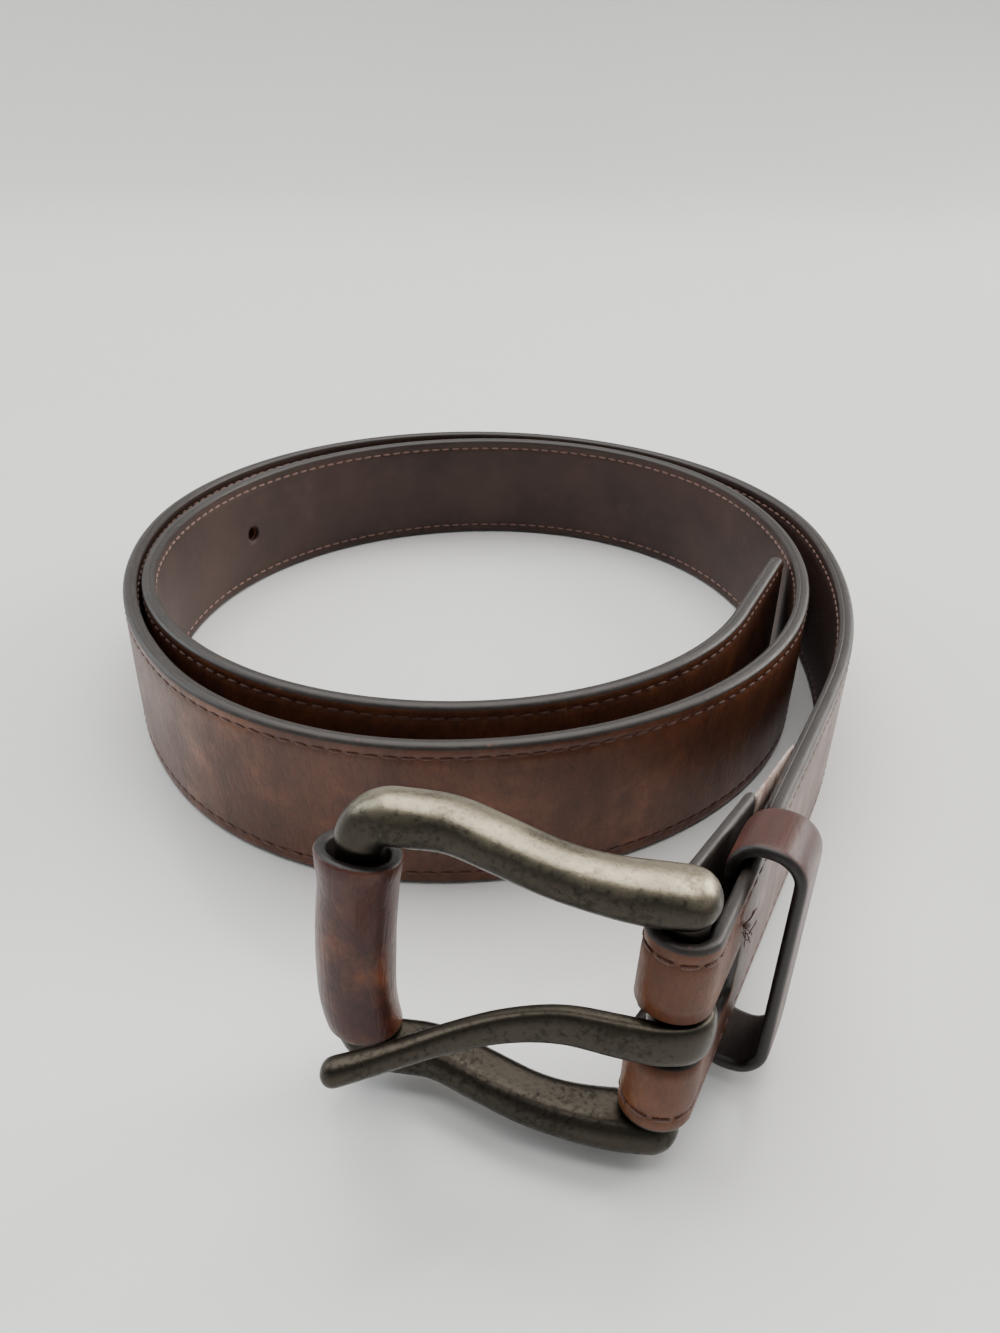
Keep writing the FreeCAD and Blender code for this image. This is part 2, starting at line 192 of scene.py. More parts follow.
def wrapped_grid(columns: int, rows: int, shape: Callable[[float, float], Vector],
                 sizes: tuple[float, float], close_rows: bool = False,
                 zone: Callable[[float, float], int] | None = None) -> bmesh.types.BMesh:
    """Grid laid round a piece, with its seam merged and its ends joined or filled.

    Args:
        columns: faces around the section.
        rows: faces along the piece.
        shape: gives the place, in metres, for two shares: around and along.
        sizes: metres around and along, for the UV map.
        close_rows: whether the first and last rows meet.
        zone: gives the material index for the middle of a face, from the same shares.

    Returns:
        A closed bmesh with a UV map in metres.
    """
    mesh = bmesh.new()
    layer = mesh.loops.layers.uv.new("UVMap")
    bmesh.ops.create_grid(mesh, x_segments=columns, y_segments=rows, size=0.5)
    for face in mesh.faces:
        for corner in face.loops:
            flat = corner.vert.co
            corner[layer].uv = ((flat.y + 0.5) * sizes[1], (flat.x + 0.5) * sizes[0])
        if zone is not None:
            middle = face.calc_center_median()
            face.material_index = zone(middle.x + 0.5, middle.y + 0.5)
    for vert in mesh.verts:
        vert.co = shape(vert.co.x + 0.5, vert.co.y + 0.5)
    rim = [v for v in mesh.verts if v.is_boundary]
    bmesh.ops.remove_doubles(mesh, verts=rim, dist=SEAM)
    open_edges = [e for e in mesh.edges if e.is_boundary]
    if open_edges and not close_rows:
        bmesh.ops.holes_fill(mesh, edges=open_edges, sides=0)
    return mesh


# --- shader building ---------------------------------------------------------------------

class Signal:
    """A socket that takes part in Python arithmetic; each operator adds a Math node."""

    def __init__(self, builder: "Finish", socket: bpy.types.NodeSocket) -> None:
        """Wraps a socket of a builder's tree."""
        self.builder, self.socket = builder, socket

    def math(self, operation: str, *values: "Signal | float", clamp: bool = False) -> "Signal":
        """Math node of one operation on this signal and others."""
        node = self.builder.tree.nodes.new("ShaderNodeMath")
        node.operation, node.use_clamp = operation, clamp
        for socket, value in zip(node.inputs, (self, *values)):
            self.builder.feed(socket, value)
        return Signal(self.builder, node.outputs[0])

    def __add__(self, other: "Signal | float") -> "Signal":
        """Sum."""
        return self.math("ADD", other)

    __radd__ = __add__

    def __mul__(self, other: "Signal | float") -> "Signal":
        """Product."""
        return self.math("MULTIPLY", other)

    __rmul__ = __mul__

    def __sub__(self, other: "Signal | float") -> "Signal":
        """Difference."""
        return self.math("SUBTRACT", other)

    def __rsub__(self, other: float) -> "Signal":
        """A number minus this signal."""
        return (self * -1.0) + other

    def band(self, low: float, high: float) -> "Signal":
        """Smooth rise from 0 at low to 1 at high."""
        node = self.builder.tree.nodes.new("ShaderNodeMapRange")
        node.interpolation_type = "SMOOTHSTEP"
        self.builder.feed(node.inputs["Value"], self)
        node.inputs["From Min"].default_value = low
        node.inputs["From Max"].default_value = high
        return Signal(self.builder, node.outputs[0])

    def clamp(self) -> "Signal":
        """The signal kept between 0 and 1."""
        return self.math("ADD", 0.0, clamp=True)


Colour = tuple[float, float, float]


class Finish:
    """Builds one procedural material around a Principled BSDF."""

    def __init__(self, name: str) -> None:
        """Starts an empty tree with its output and shader."""
        self.material = bpy.data.materials.new(name)
        self.material.use_nodes = True
        self.tree = self.material.node_tree
        self.tree.nodes.clear()
        output = self.tree.nodes.new("ShaderNodeOutputMaterial")
        self.shader = self.tree.nodes.new("ShaderNodeBsdfPrincipled")
        self.tree.links.new(self.shader.outputs[0], output.inputs[0])

    def feed(self, socket: bpy.types.NodeSocket, value: object) -> None:
        """Links a signal to a socket, or sets the socket's own value."""
        if isinstance(value, Signal):
            self.tree.links.new(value.socket, socket)
        elif isinstance(value, tuple) and len(value) == 3 and len(socket.default_value) == 4:
            socket.default_value = (*value, 1.0)
        else:
            socket.default_value = value

    def node(self, kind: str, settings: dict[str, object] | None = None, output: int | str = 0,
             **inputs: object) -> Signal:
        """Any other node.

        Args:
            kind: node type without its ShaderNode prefix.
            settings: properties, set before the sockets.
            output: which output to return.
            **inputs: socket names, with _ for a space, and their values or signals.

        Returns:
            The chosen output.
        """
        node = self.tree.nodes.new("ShaderNode" + kind)
        for key, value in (settings or {}).items():
            setattr(node, key, value)
        for key, value in inputs.items():
            self.feed(node.inputs[key.replace("_", " ")], value)
        return Signal(self, node.outputs[output])

    def surface_map(self, scale: tuple[float, float, float] = (1, 1, 1)) -> Signal:
        """The piece's own UV map, in metres, stretched by a scale."""
        place = self.node("UVMap", {"uv_map": "UVMap"})
        return self.node("Mapping", Vector=place, Scale=scale)

    def space(self, scale: tuple[float, float, float] = (1, 1, 1)) -> Signal:
        """Object coordinates stretched by a scale."""
        place = self.node("TexCoord", output="Object")
        return self.node("Mapping", Vector=place, Scale=scale)

    def noise(self, place: Signal, scale: float, detail: float = 4.0,
              roughness: float = 0.55) -> Signal:
        """Noise between 0 and 1."""
        return self.node("TexNoise", Vector=place, Scale=scale, Detail=detail,
                         Roughness=roughness)

    def cells(self, place: Signal, scale: float, feature: str = "F1") -> Signal:
        """Distance in a cell pattern."""
        return self.node("TexVoronoi", {"feature": feature}, output="Distance",
                         Vector=place, Scale=scale)

    def blend(self, mask: Signal | float, first: object, second: object) -> Signal:
        """Colour mix of two colours or signals.

        Args:
            mask: 0 for the first, 1 for the second.
            first: a colour or a signal.
            second: a colour or a signal.

        Returns:
            The mixed colour.
        """
        node = self.tree.nodes.new("ShaderNodeMix")
        node.data_type = "RGBA"
        self.feed(node.inputs[0], mask)
        self.feed(node.inputs[6], first)
        self.feed(node.inputs[7], second)
        return Signal(self, node.outputs[2])

    def relief(self, height: Signal, strength: float, distance: float) -> Signal:
        """Bump from a height."""
        return self.node("Bump", Height=height, Strength=strength, Distance=distance)

    def dress(self, **inputs: object) -> bpy.types.Material:
        """Sets the shader's sockets and returns the material."""
        for key, value in inputs.items():
            self.feed(self.shader.inputs[key.replace("_", " ")], value)
        return self.material


@dataclass(frozen=True)
class GrainLeather:
    """Waxed pull-up leather: mottled brown, fine creases across the strap, soft shine."""

    name: str
    deep: Colour
    middle: Colour
    warm: Colour
    shine: float = 0.38
    crease: float = 0.35
    worn: float = 0.48

    def build(self) -> bpy.types.Material:
        """Makes the material."""
        f = Finish(self.name)
        place = f.surface_map()
        across = f.surface_map((1.0, 0.42, 1.0))
        clouds = f.noise(place, 26, 3)
        streaks = f.noise(across, 170, 5, 0.62)
        fine = f.noise(across, 900, 4, 0.6)
        pores = f.cells(place, 1500)
        veins = f.node("TexVoronoi", {"feature": "DISTANCE_TO_EDGE"}, output="Distance",
                       Vector=across, Scale=420)
        scratch_lines = f.noise(f.surface_map((0.15, 3.0, 1.0)), 60, 2, 0.4)
        scratches = scratch_lines.band(0.70, 0.74) * f.noise(place, 60, 2).band(0.56, 0.66)
        tone = (clouds * 0.55 + streaks * 0.55 - 0.05).band(0.32, 0.70)
        colour = f.blend(tone, self.deep, self.middle)
        glow = f.noise(place, 70, 5, 0.62).band(self.worn, self.worn + 0.28) * 0.6
        colour = f.blend(glow, colour, self.warm)
        colour = f.blend(scratches * 0.35, colour, tuple(min(1.0, c * 2.4) for c in self.warm))
        # painted shade: the colour darkens where the grain lines and fine creases sink in the
        # bump
        groove_shade = (1 - veins.band(0.0, 0.06)) * 0.15 + (1 - fine.band(0.34, 0.50)) * 0.28
        colour = f.blend(groove_shade.clamp(), colour, tuple(c * 0.45 for c in self.deep))
        height = (fine * 0.5 + streaks * 0.7 + veins.band(0.0, 0.12) * 0.2
                  - (1 - pores.band(0.10, 0.38)) * 0.18)
        rough = (self.shine + (fine - 0.5) * 0.22 + (1 - tone) * 0.10
                 - glow * 0.14).clamp()
        return f.dress(Base_Color=colour, Roughness=rough, Specular_IOR_Level=0.4,
                       Coat_Weight=0.06, Coat_Roughness=0.3,
                       Normal=f.relief(height, self.crease, 0.0004))


@dataclass(frozen=True)
class FleshLeather:
    """Matt lining leather: dark, finely pebbled, with rubbed paler spots."""

    name: str
    dark: Colour
    light: Colour
    matt: float = 0.6

    def build(self) -> bpy.types.Material:
        """Makes the material."""
        f = Finish(self.name)
        place = f.surface_map()
        clouds = f.noise(place, 34, 4)
        pebble = f.cells(place, 1300, "SMOOTH_F1")
        fibre = f.noise(place, 2200, 3, 0.6)
        rub = f.noise(place, 90, 4, 0.65).band(0.52, 0.74)
        colour = f.blend((clouds * 0.7 + fibre * 0.4).band(0.35, 0.75), self.dark, self.light)
        colour = f.blend(rub * 0.25, colour, tuple(c * 1.5 for c in self.light))
        height = pebble * 0.8 + fibre * 0.35
        return f.dress(Base_Color=colour, Roughness=(self.matt + (fibre - 0.5) * 0.2).clamp(),
                       Specular_IOR_Level=0.42, Normal=f.relief(height, 0.3, 0.0003))


@dataclass(frozen=True)
class EdgePaint:
    """Edge dressing: charcoal film over cut leather, satin, with small chips."""

    name: str
    film: Colour
    chip: Colour
    chips: float = 0.12

    def build(self) -> bpy.types.Material:
        """Makes the material."""
        f = Finish(self.name)
        place = f.space()
        drag = f.noise(f.space((1, 1, 3)), 260, 4)
        lumps = f.noise(place, 700, 4, 0.6)
        gone = (lumps * 0.6 + drag * 0.4).band(0.60, 0.66) * self.chips * 4
        colour = f.blend(drag.band(0.3, 0.7), tuple(c * 0.7 for c in self.film), self.film)
        colour = f.blend(gone.clamp(), colour, self.chip)
        rough = (0.42 + (drag - 0.5) * 0.3 + gone * 0.3).clamp()
        return f.dress(Base_Color=colour, Roughness=rough, Specular_IOR_Level=0.5,
                       Normal=f.relief(lumps + drag, 0.22, 0.0003))


@dataclass(frozen=True)
class RawLeather:
    """Torn or unpainted leather: pale fibres with dirt."""

    name: str
    pale: Colour
    dirt: Colour

    def build(self) -> bpy.types.Material:
        """Makes the material."""
        f = Finish(self.name)
        fibres = f.noise(f.space((1, 1, 0.25)), 1400, 5, 0.7)
        patches = f.noise(f.space(), 180, 4)
        colour = f.blend((fibres * 0.6 + patches * 0.5).band(0.4, 0.7), self.dirt, self.pale)
        return f.dress(Base_Color=colour, Roughness=0.85, Specular_IOR_Level=0.25,
                       Normal=f.relief(fibres, 0.6, 0.0005))


@dataclass(frozen=True)
class WaxedThread:
    """Twisted polyester sewing thread."""

    name: str
    body: Colour
    # darker colour: painted shade in the twist's grooves together with random grime
    grime_and_groove_shade: Colour

    def build(self) -> bpy.types.Material:
        """Makes the material."""
        f = Finish(self.name)
        twist = f.node("TexWave", {"bands_direction": "DIAGONAL"}, output=1,
                       Vector=f.space(), Scale=900.0, Distortion=1.5)
        grime = f.noise(f.space(), 150, 3)
        # the darker colour is painted shade in the twist's grooves, mixed with random grime
        colour = f.blend(twist * 0.6 + grime * 0.4, self.grime_and_groove_shade, self.body)
        return f.dress(Base_Color=colour, Roughness=0.62, Sheen_Weight=0.25,
                       Normal=f.relief(twist, 0.35, 0.0002))


@dataclass(frozen=True)
class AntiqueMetal:
    """Cast zinc with an antiqued nickel plate: painted highlight on upward faces high up, bright
    wear in random patches, dark patina elsewhere.
    """

    name: str
    # colour of the bright wear and of the painted highlight
    bright: Colour
    tarnish: Colour
    black: Colour
    # height in metres above which upward faces get the painted highlight
    highlight_from: float = 0.038

    def build(self) -> bpy.types.Material:
        """Makes the material."""
        f = Finish(self.name)
        place = f.space()
        clouds = f.noise(place, 95, 5, 0.62)
        specks = f.noise(place, 1100, 4, 0.7)
        brushed = f.noise(f.space((1, 1, 0.35)), 1700, 3, 0.6)
        up = f.node("SeparateXYZ", output="Z", Vector=f.node("NewGeometry", output="Normal"))
        height = f.node("SeparateXYZ", output="Z", Vector=place)
        # painted highlight: faces that look upward, above a height, are made brighter and less
        # black
        painted_top_highlight = up.band(0.22, 1.0) * height.band(self.highlight_from - 0.012, self.highlight_from)
        # worn mixes that painted highlight with bright wear in random patches
        worn = (painted_top_highlight * 0.80 + clouds * 1.70 + specks * 0.90 - 1.48).band(0.0, 0.95)
        colour = f.blend(worn, self.tarnish, self.bright)
        heavy = ((clouds * 0.45 + specks * 0.65).band(0.52, 0.72) * (1 - painted_top_highlight * 0.35)).clamp()
        colour = f.blend(heavy * 0.75, colour, self.black)
        rough = (0.34 + heavy * 0.16 + (brushed - 0.5) * 0.20 - worn * 0.04).clamp()
        relief = specks * 0.7 + brushed * 0.3 + clouds * 0.4
        return f.dress(Base_Color=colour, Metallic=1.0, Roughness=rough,
                       Normal=f.relief(relief, 0.22, 0.0003))


@dataclass(frozen=True)
class Gloss:
    """Plain glossy lacquer of the table, with a faint unevenness."""

    name: str
    tone: Colour
    rough: float = 0.16

    def build(self) -> bpy.types.Material:
        """Makes the material."""
        f = Finish(self.name)
        drift = f.noise(f.space(), 2.2, 3)
        colour = f.blend(drift.band(0.3, 0.7), self.tone, tuple(c * 0.97 for c in self.tone))
        return f.dress(Base_Color=colour, Roughness=(self.rough + drift * 0.08).clamp())


class Finishes:
    """Every material of the belt."""

    def __init__(self) -> None:
        """Builds all the materials."""
        self.face = GrainLeather("face_leather", (0.066, 0.021, 0.011), (0.135, 0.046, 0.021),
                                 (0.25, 0.086, 0.032)).build()
        self.fold = GrainLeather("fold_leather", (0.075, 0.020, 0.006), (0.145, 0.046, 0.014),
                                 (0.26, 0.096, 0.032), shine=0.44, crease=0.3).build()
        self.sleeve = GrainLeather("sleeve_leather", (0.035, 0.009, 0.007),
                                   (0.085, 0.020, 0.012), (0.33, 0.10, 0.036), shine=0.30,
                                   crease=0.35, worn=0.44).build()
        self.keeper = GrainLeather("keeper_leather", (0.048, 0.014, 0.010),
                                   (0.070, 0.017, 0.010), (0.13, 0.034, 0.018), shine=0.36,
                                   crease=0.2).build()
        self.lining = FleshLeather("lining_leather", (0.030, 0.015, 0.012),
                                   (0.062, 0.032, 0.024)).build()
        # flesh-side texture coloured near black: painted shade for the inner sides of the fold,
        # sleeve and keeper
        self.flesh_painted_shade = FleshLeather("flesh_painted_shade", (0.012, 0.007, 0.006),
                                         (0.035, 0.018, 0.014), 0.85).build()
        self.edge = EdgePaint("edge_paint", (0.028, 0.021, 0.018), (0.15, 0.08, 0.055)).build()
        self.dark_edge = EdgePaint("dark_edge_paint", (0.013, 0.009, 0.008),
                                   (0.12, 0.06, 0.04), 0.05).build()
        self.raw = RawLeather("raw_leather", (0.62, 0.50, 0.44), (0.22, 0.14, 0.11)).build()
        self.thread = WaxedThread("brown_thread", (0.12, 0.035, 0.018),
                                  (0.05, 0.014, 0.008)).build()
        self.pale_thread = WaxedThread("tan_thread", (0.30, 0.16, 0.12),
                                       (0.13, 0.06, 0.045)).build()
        self.metal = AntiqueMetal("antique_metal", (0.45, 0.39, 0.28), (0.052, 0.045, 0.036),
                                  (0.012, 0.011, 0.010)).build()
        self.steel = AntiqueMetal("staple_steel", (0.8, 0.8, 0.8), (0.6, 0.6, 0.6),
                                  (0.2, 0.2, 0.2)).build()


# --- strap -------------------------------------------------------------------------------

@dataclass
class StrapPath:
    """The way the strap lies: the outer face of the leather, seen from above.

    A run is a distance along the outer face from where the strap leaves the heel bar: forward
    to the tip, and backward round the bar and along the flap. Depth is measured inwards from
    the outer face, and height from the lower edge.
    """

    width: float = 35
    face: float = 2.4
    lining: float = 1.2
    climb_angle: float = 6
    climb_run: float = 80
    bend_run: float = 16.5
    level_run: float = 1
    lining_start: float = 40
    coil_radius: float = 80
    tail_run: float = 40
    fold_inner: float = 3.46
    lift: float = 8.5
    flap_length: float = 40
    flap_gap: float = 1.6
    tip_corner: float = 4.5
    bends: tuple[tuple[float, float], ...] = (
        (82, 28), (8.5, 177), (37, 39), (-9.5, 55), (11, 66), (28.5, 42), (-5, 67), (12, 103),
        (-0.5, 143))

    def __post_init__(self) -> None:
        """Lays out the straight runs and arcs."""
        self.thickness = self.face + self.lining
        self.fold_outer = self.fold_inner + self.face
        corner = Vector((self.fold_inner - self.lining - self.flap_gap, self.flap_length, 0))
        tilt = math.asin(self.fold_inner / corner.length) + math.atan2(corner.x, corner.y)
        self.flap_tilt = math.degrees(tilt)
        self.wrap = math.radians(180 + self.flap_tilt) * self.fold_outer
        self.flap = math.sqrt(corner.length_squared - self.fold_inner ** 2)
        self.start = -(self.wrap + self.flap)

        self.bend_radius = self.bend_run / math.radians(self.climb_angle)
        point, heading = Vector((self.fold_outer, 0, 0)), 90.0
        straight = self.climb_run + self.bend_run + self.level_run
        self.segments: list[tuple[float, float, Vector, float, float]] = [
            (0.0, straight, point.copy(), heading, 0.0)]
        run, point = straight, point + Vector((0, straight, 0))
        sweep_left = sum(sweep for _, sweep in self.bends)
        for extra, sweep in self.bends:
            turns_inside = (sweep_left - sweep / 2) / 360
            radius = self.coil_radius + extra + self.thickness * (turns_inside + 0.5)
            length = radius * math.radians(sweep)
            self.segments.append((run, length, point.copy(), heading, radius))
            centre = point + left_of(heading_vector(heading)) * radius
            heading += sweep
            sweep_left -= sweep
            point = centre - left_of(heading_vector(heading)) * radius
            run += length
        self.segments.append((run, self.tail_run, point.copy(), heading, 0.0))
        self.tip = run + self.tail_run

    def outer(self, run: float) -> tuple[Vector, float]:
        """Point on the outer face and the heading there.

        Args:
            run: distance along the outer face, below 0 round the bar and along the flap.

        Returns:
            The point in plan, and the heading in degrees.
        """
        if run < -self.wrap:
            heading = -90 - self.flap_tilt
            contact = -left_of(heading_vector(heading)) * self.fold_outer
            return contact - heading_vector(heading) * (-run - self.wrap), heading
        if run < 0:
            heading = 90 + math.degrees(run / self.fold_outer)
            return -left_of(heading_vector(heading)) * self.fold_outer, heading
        for start, length, point, heading, radius in self.segments:
            if run <= start + length + 1e-9:
                break
        if not radius:
            return point + heading_vector(heading) * (run - start), heading
        turned = heading + math.degrees((run - start) / radius)
        centre = point + left_of(heading_vector(heading)) * radius
        return centre - left_of(heading_vector(turned)) * radius, turned

    def full(self, run: float) -> float:
        """Thickness of the strap at a run: face alone at the fold, face and lining beyond."""
        start = self.lining_start
        return self.face + self.lining * smooth_step(start - 3, start + 3, run)

    def point(self, run: float, depth: float, height: float) -> Vector:
        """Place of a point of the strap, in millimetres in the heel bar's frame.

        Args:
            run: distance along the outer face.
            depth: distance inwards from the outer face.
            height: distance above the lower edge.

        Returns:
            The point, with the climb and the bend to level worked in.
        """
        base, heading = self.outer(run)
        flat = base + left_of(heading_vector(heading)) * depth
        if run <= self.climb_run:
            return flat + UP * (self.lift + height)
        past = min(run - self.climb_run, self.bend_run)
        turn = past / self.bend_radius
        radius = self.bend_radius + self.width / 2 - height
        middle = self.lift + self.width / 2 + self.bend_radius
        onward = flat.y - self.climb_run - past
        return Vector((flat.x,
                       self.climb_run + radius * math.sin(turn) + onward * math.cos(turn),
                       middle - radius * math.cos(turn) + onward * math.sin(turn)))

    def course(self, run: float, depth: float, height: float) -> Vector:
        """Direction of the strap at a point."""
        return self.point(run + 0.5, depth, height) - self.point(run - 0.5, depth, height)

    def tip_share(self, run: float) -> float:
        """Half-height left at the rounded tip, as a share of the strap's half width."""
        corner, left = self.tip_corner, self.tip - run
        if left >= corner:
            return 1.0
        cut = corner - math.sqrt(max(corner ** 2 - (corner - left) ** 2, 0.0))
        return 1 - cut / (self.width / 2)


class Layer(Enum):
    """Which leather of the strap a ribbon is."""

    FACE = "face"
    LINING = "lining"


@dataclass
class Strap:
    """Face leather with fold and flap, lining, stitching and holes."""

    bench: Bench
    finishes: Finishes
    path: StrapPath
    stitch_inset: float = 3.0
    stitch_pitch: float = 3.7
    stitch_length: float = 2.9
    edge_round: float = 0.75
    hole_diameter: float = 4.9
    hole_pitch: float = 25
    hole_count: int = 5
    first_hole: float = 100
    extra_hole: float = 305
    fold_tone_end: float = 6
    slot_half_height: float = 4.4
    slot_on_main: float = 16
    slot_on_flap: float = 10
    row_step: float = 2.0

    def heights(self) -> list[float]:
        """Heights of the columns across the face, closer at the stitch rows."""
        inset, width = self.stitch_inset, self.path.width
        low = [0.9, 1.6, inset - 0.7, inset - 0.3, inset, inset + 0.3, inset + 0.7, 5.0]
        slot = [width / 2 - self.slot_half_height, width / 2 + self.slot_half_height]
        middle = [7.5, 10.5, slot[0], 15.3, width / 2, 19.7, slot[1], 24.5, 27.5]
        return low + middle + [width - h for h in reversed(low)]

    def section(self, layer: Layer) -> list[tuple[float, float, int]]:
        """Closed section of a layer.

        Returns:
            Rows of depth share within the layer, height and side.
        """
        heights = self.heights()
        width = self.path.width
        shares = (0.15, 0.4, 0.7, 1.0) if layer is Layer.FACE else (0.85, 0.6, 0.3, 0.0)
        start = 0.0 if layer is Layer.FACE else 1.0
        rows = [(start, h, Side.LEATHER) for h in heights]
        rows += [(share, width, Side.EDGE) for share in shares]
        rows += [(1.0 - start, h, Side.HIDDEN) for h in reversed(heights)]
        rows += [(share, 0.0, Side.EDGE) for share in reversed(shares)]
        return rows

    def press(self, height: float) -> float:
        """How far the face is pressed in: at the stitch rows, and a soft crown between."""
        inset, width = self.stitch_inset, self.path.width
        rows = bump_at(inset, 0.9, height) + bump_at(width - inset, 0.9, height)
        crown = 0.10 * (1 - ((height - width / 2) / (width / 2)) ** 2)
        return 0.28 * rows - crown + 0.12

    def ribbon_point(self, layer: Layer, rows: list[tuple[float, float, int]],
                     around: float, run: float) -> Vector:
        """Place of one grid corner of a layer.

        Args:
            layer: which leather.
            rows: the layer's closed section.
            around: share of the way round the section.
            run: distance along the outer face.

        Returns:
            The place in metres, in the part's frame.
        """
        share, height, kind = rows[round(around * len(rows)) % len(rows)]
        path, width = self.path, self.path.width
        full = path.full(run)
        if layer is Layer.FACE:
            depth = share * path.face
        else:
            depth = path.face + share * path.lining
        off_middle = abs(2 * depth / full - 1)
        if kind == Side.EDGE:
            inset = self.edge_round * off_middle ** 2.4
            height = inset if height == 0 else width - inset
        elif kind == Side.LEATHER:
            inward = self.press(height)
            depth += inward if layer is Layer.FACE else -inward
        middle = width / 2
        height = middle + (height - middle) * path.tip_share(run)
        end_left = min(path.tip - run, run - path.start)
        thin = 0.25 * bump_at(0, 0.8, end_left)
        depth += (full / 2 - depth) * thin
        return self.bench.place(path.point(run, depth, height))

    def ribbon(self, layer: Layer, start: float, stop: float) -> bmesh.types.BMesh:
        """A layer of leather as a closed ribbon.

        Args:
            layer: which leather.
            start: run where it begins.
            stop: run where it ends.

        Returns:
            The ribbon, with its UV map in metres.
        """
        rows = self.section(layer)
        stations = self.stations(start, stop)
        count = len(stations) - 1

        def shape(around: float, along: float) -> Vector:
            """Place of one corner of the grid."""
            return self.ribbon_point(layer, rows, around, stations[round(along * count)])

        def zone(around: float, along: float) -> int:
            """Which side a face of the grid lies on."""
            index = int(around * len(rows))
            near, far = rows[index][2], rows[(index + 1) % len(rows)][2]
            return near if near == far else Side.EDGE

        mesh = wrapped_grid(len(rows), count, shape, (1, 1), zone=zone)
        self.write_uvs(mesh, rows, stations)
        return mesh

    def write_uvs(self, mesh: bmesh.types.BMesh, rows: list[tuple[float, float, int]],
                  stations: list[float]) -> None:
        """UV map in metres: run along U, height across V.

        Args:
            mesh: the ribbon.
            rows: its closed section.
            stations: the runs of its rows.
        """
        layer = mesh.loops.layers.uv["UVMap"]
        count = len(stations) - 1
        for face in mesh.faces:
            for corner in face.loops:
                along, around = corner[layer].uv
                index = min(max(round(along * count), 0), count)
                row = rows[round(around * len(rows)) % len(rows)]
                corner[layer].uv = (stations[index] * MM, (row[1] + row[0] * DEPTH_STEP) * MM)

    def stations(self, start: float, stop: float) -> list[float]:
        """Runs of the grid's rows, closer round the fold, at the slot's ends and the tip.

        Args:
            start: the first run.
            stop: the last run.

        Returns:
            The runs, rising, with one at each end of the slot.
        """
        marks = [start]
        run = start
        while run < stop - 0.05:
            in_fold = -self.path.wrap - 1 < run < 1
            near_tip = self.path.tip - run < 5.2
            near_end = run - start < 1.2
            step = 0.45 if near_tip or near_end else (0.9 if in_fold else self.row_step)
            run = min(run + step, stop)
            marks.append(run)
        for edge in (self.slot_on_main, -self.path.wrap - self.slot_on_flap):
            if start < edge < stop:
                nearest = min(range(1, len(marks) - 1), key=lambda i: abs(marks[i] - edge))
                marks[nearest] = edge
        return marks

    def open_slot(self, mesh: bmesh.types.BMesh) -> None:
        """Takes the prong's slot out of both sides of the fold and walls it."""
        layer = mesh.loops.layers.uv["UVMap"]
        low = self.path.width / 2 - self.slot_half_height
        high = self.path.width / 2 + self.slot_half_height
        first, last = -self.path.wrap - self.slot_on_flap, self.slot_on_main
        gone = []
        for face in mesh.faces:
            if face.material_index == Side.EDGE or len(face.verts) > 4:
                continue
            run = sum(c[layer].uv[0] for c in face.loops) / 4 / MM
            hidden = DEPTH_STEP if face.material_index == Side.HIDDEN else 0
            height = sum(c[layer].uv[1] for c in face.loops) / 4 / MM - hidden
            if first < run < last and low < height < high:
                gone.append(face)
        bmesh.ops.delete(mesh, geom=gone, context="FACES")
        rims = [e for e in mesh.edges if e.is_boundary]
        walls = bmesh.ops.bridge_loops(mesh, edges=rims)["faces"]
        for face in walls:
            face.material_index = Side.EDGE
            for corner in face.loops:
                corner[layer].uv = (corner.vert.co.x, corner.vert.co.z)

    def build(self) -> None:
        """Makes the face leather, the lining, the stitches and the flap's torn end."""
        path, finishes = self.path, self.finishes
        face = self.ribbon(Layer.FACE, path.start, path.tip)
        self.open_slot(face)
        layer = face.loops.layers.uv["UVMap"]
        for polygon in face.faces:
            run = polygon.loops[0][layer].uv[0] / MM
            if polygon.material_index == Side.LEATHER and run < self.fold_tone_end:
                polygon.material_index = Side.FOLD
        holes = [self.first_hole + self.hole_pitch * i for i in range(self.hole_count)]
        cutter = self.hole_cutter([*holes, self.extra_hole])
        # the face's hidden inner side, seen in the fold and its pocket, takes the near-black
        # painted shade
        skins = [self.bench.finish("belt_face", face, "strap",
                                   [finishes.face, finishes.edge, finishes.flesh_painted_shade,
                                    finishes.fold], "face_leather",
                                   ["strap_face", "strap_core"])]
        lining = self.ribbon(Layer.LINING, path.lining_start - 2, path.tip)
        skins.append(self.bench.finish("belt_lining", lining, "strap",
                                       [finishes.lining, finishes.edge, finishes.lining],
                                       "lining_leather", ["strap_lining"]))
        for skin in skins:
            self.cut_holes(skin, cutter)
        bpy.data.objects.remove(cutter, do_unlink=True)
        self.stitch_rows()
        self.feather()
        self.loose_thread()

    def hole_cutter(self, distances: Sequence[float]) -> bpy.types.Object:
        """Round cutters through the strap at distances from the tip, as one object."""
        mesh = bmesh.new()
        for distance in distances:
            run = self.run_from_tip(distance)
            ends = [self.bench.place(self.path.point(run, depth, self.path.width / 2))
                    for depth in (0, self.path.thickness)]
            across = ends[1] - ends[0]
            radius = self.hole_diameter / 2 * MM
            bmesh.ops.create_cone(mesh, cap_ends=True, segments=24, depth=9 * MM,
                                  radius1=radius, radius2=radius,
                                  matrix=Matrix.Translation((ends[0] + ends[1]) / 2)
                                  @ across.to_track_quat("Z", "Y").to_matrix().to_4x4())
        return new_object("cutter", mesh)

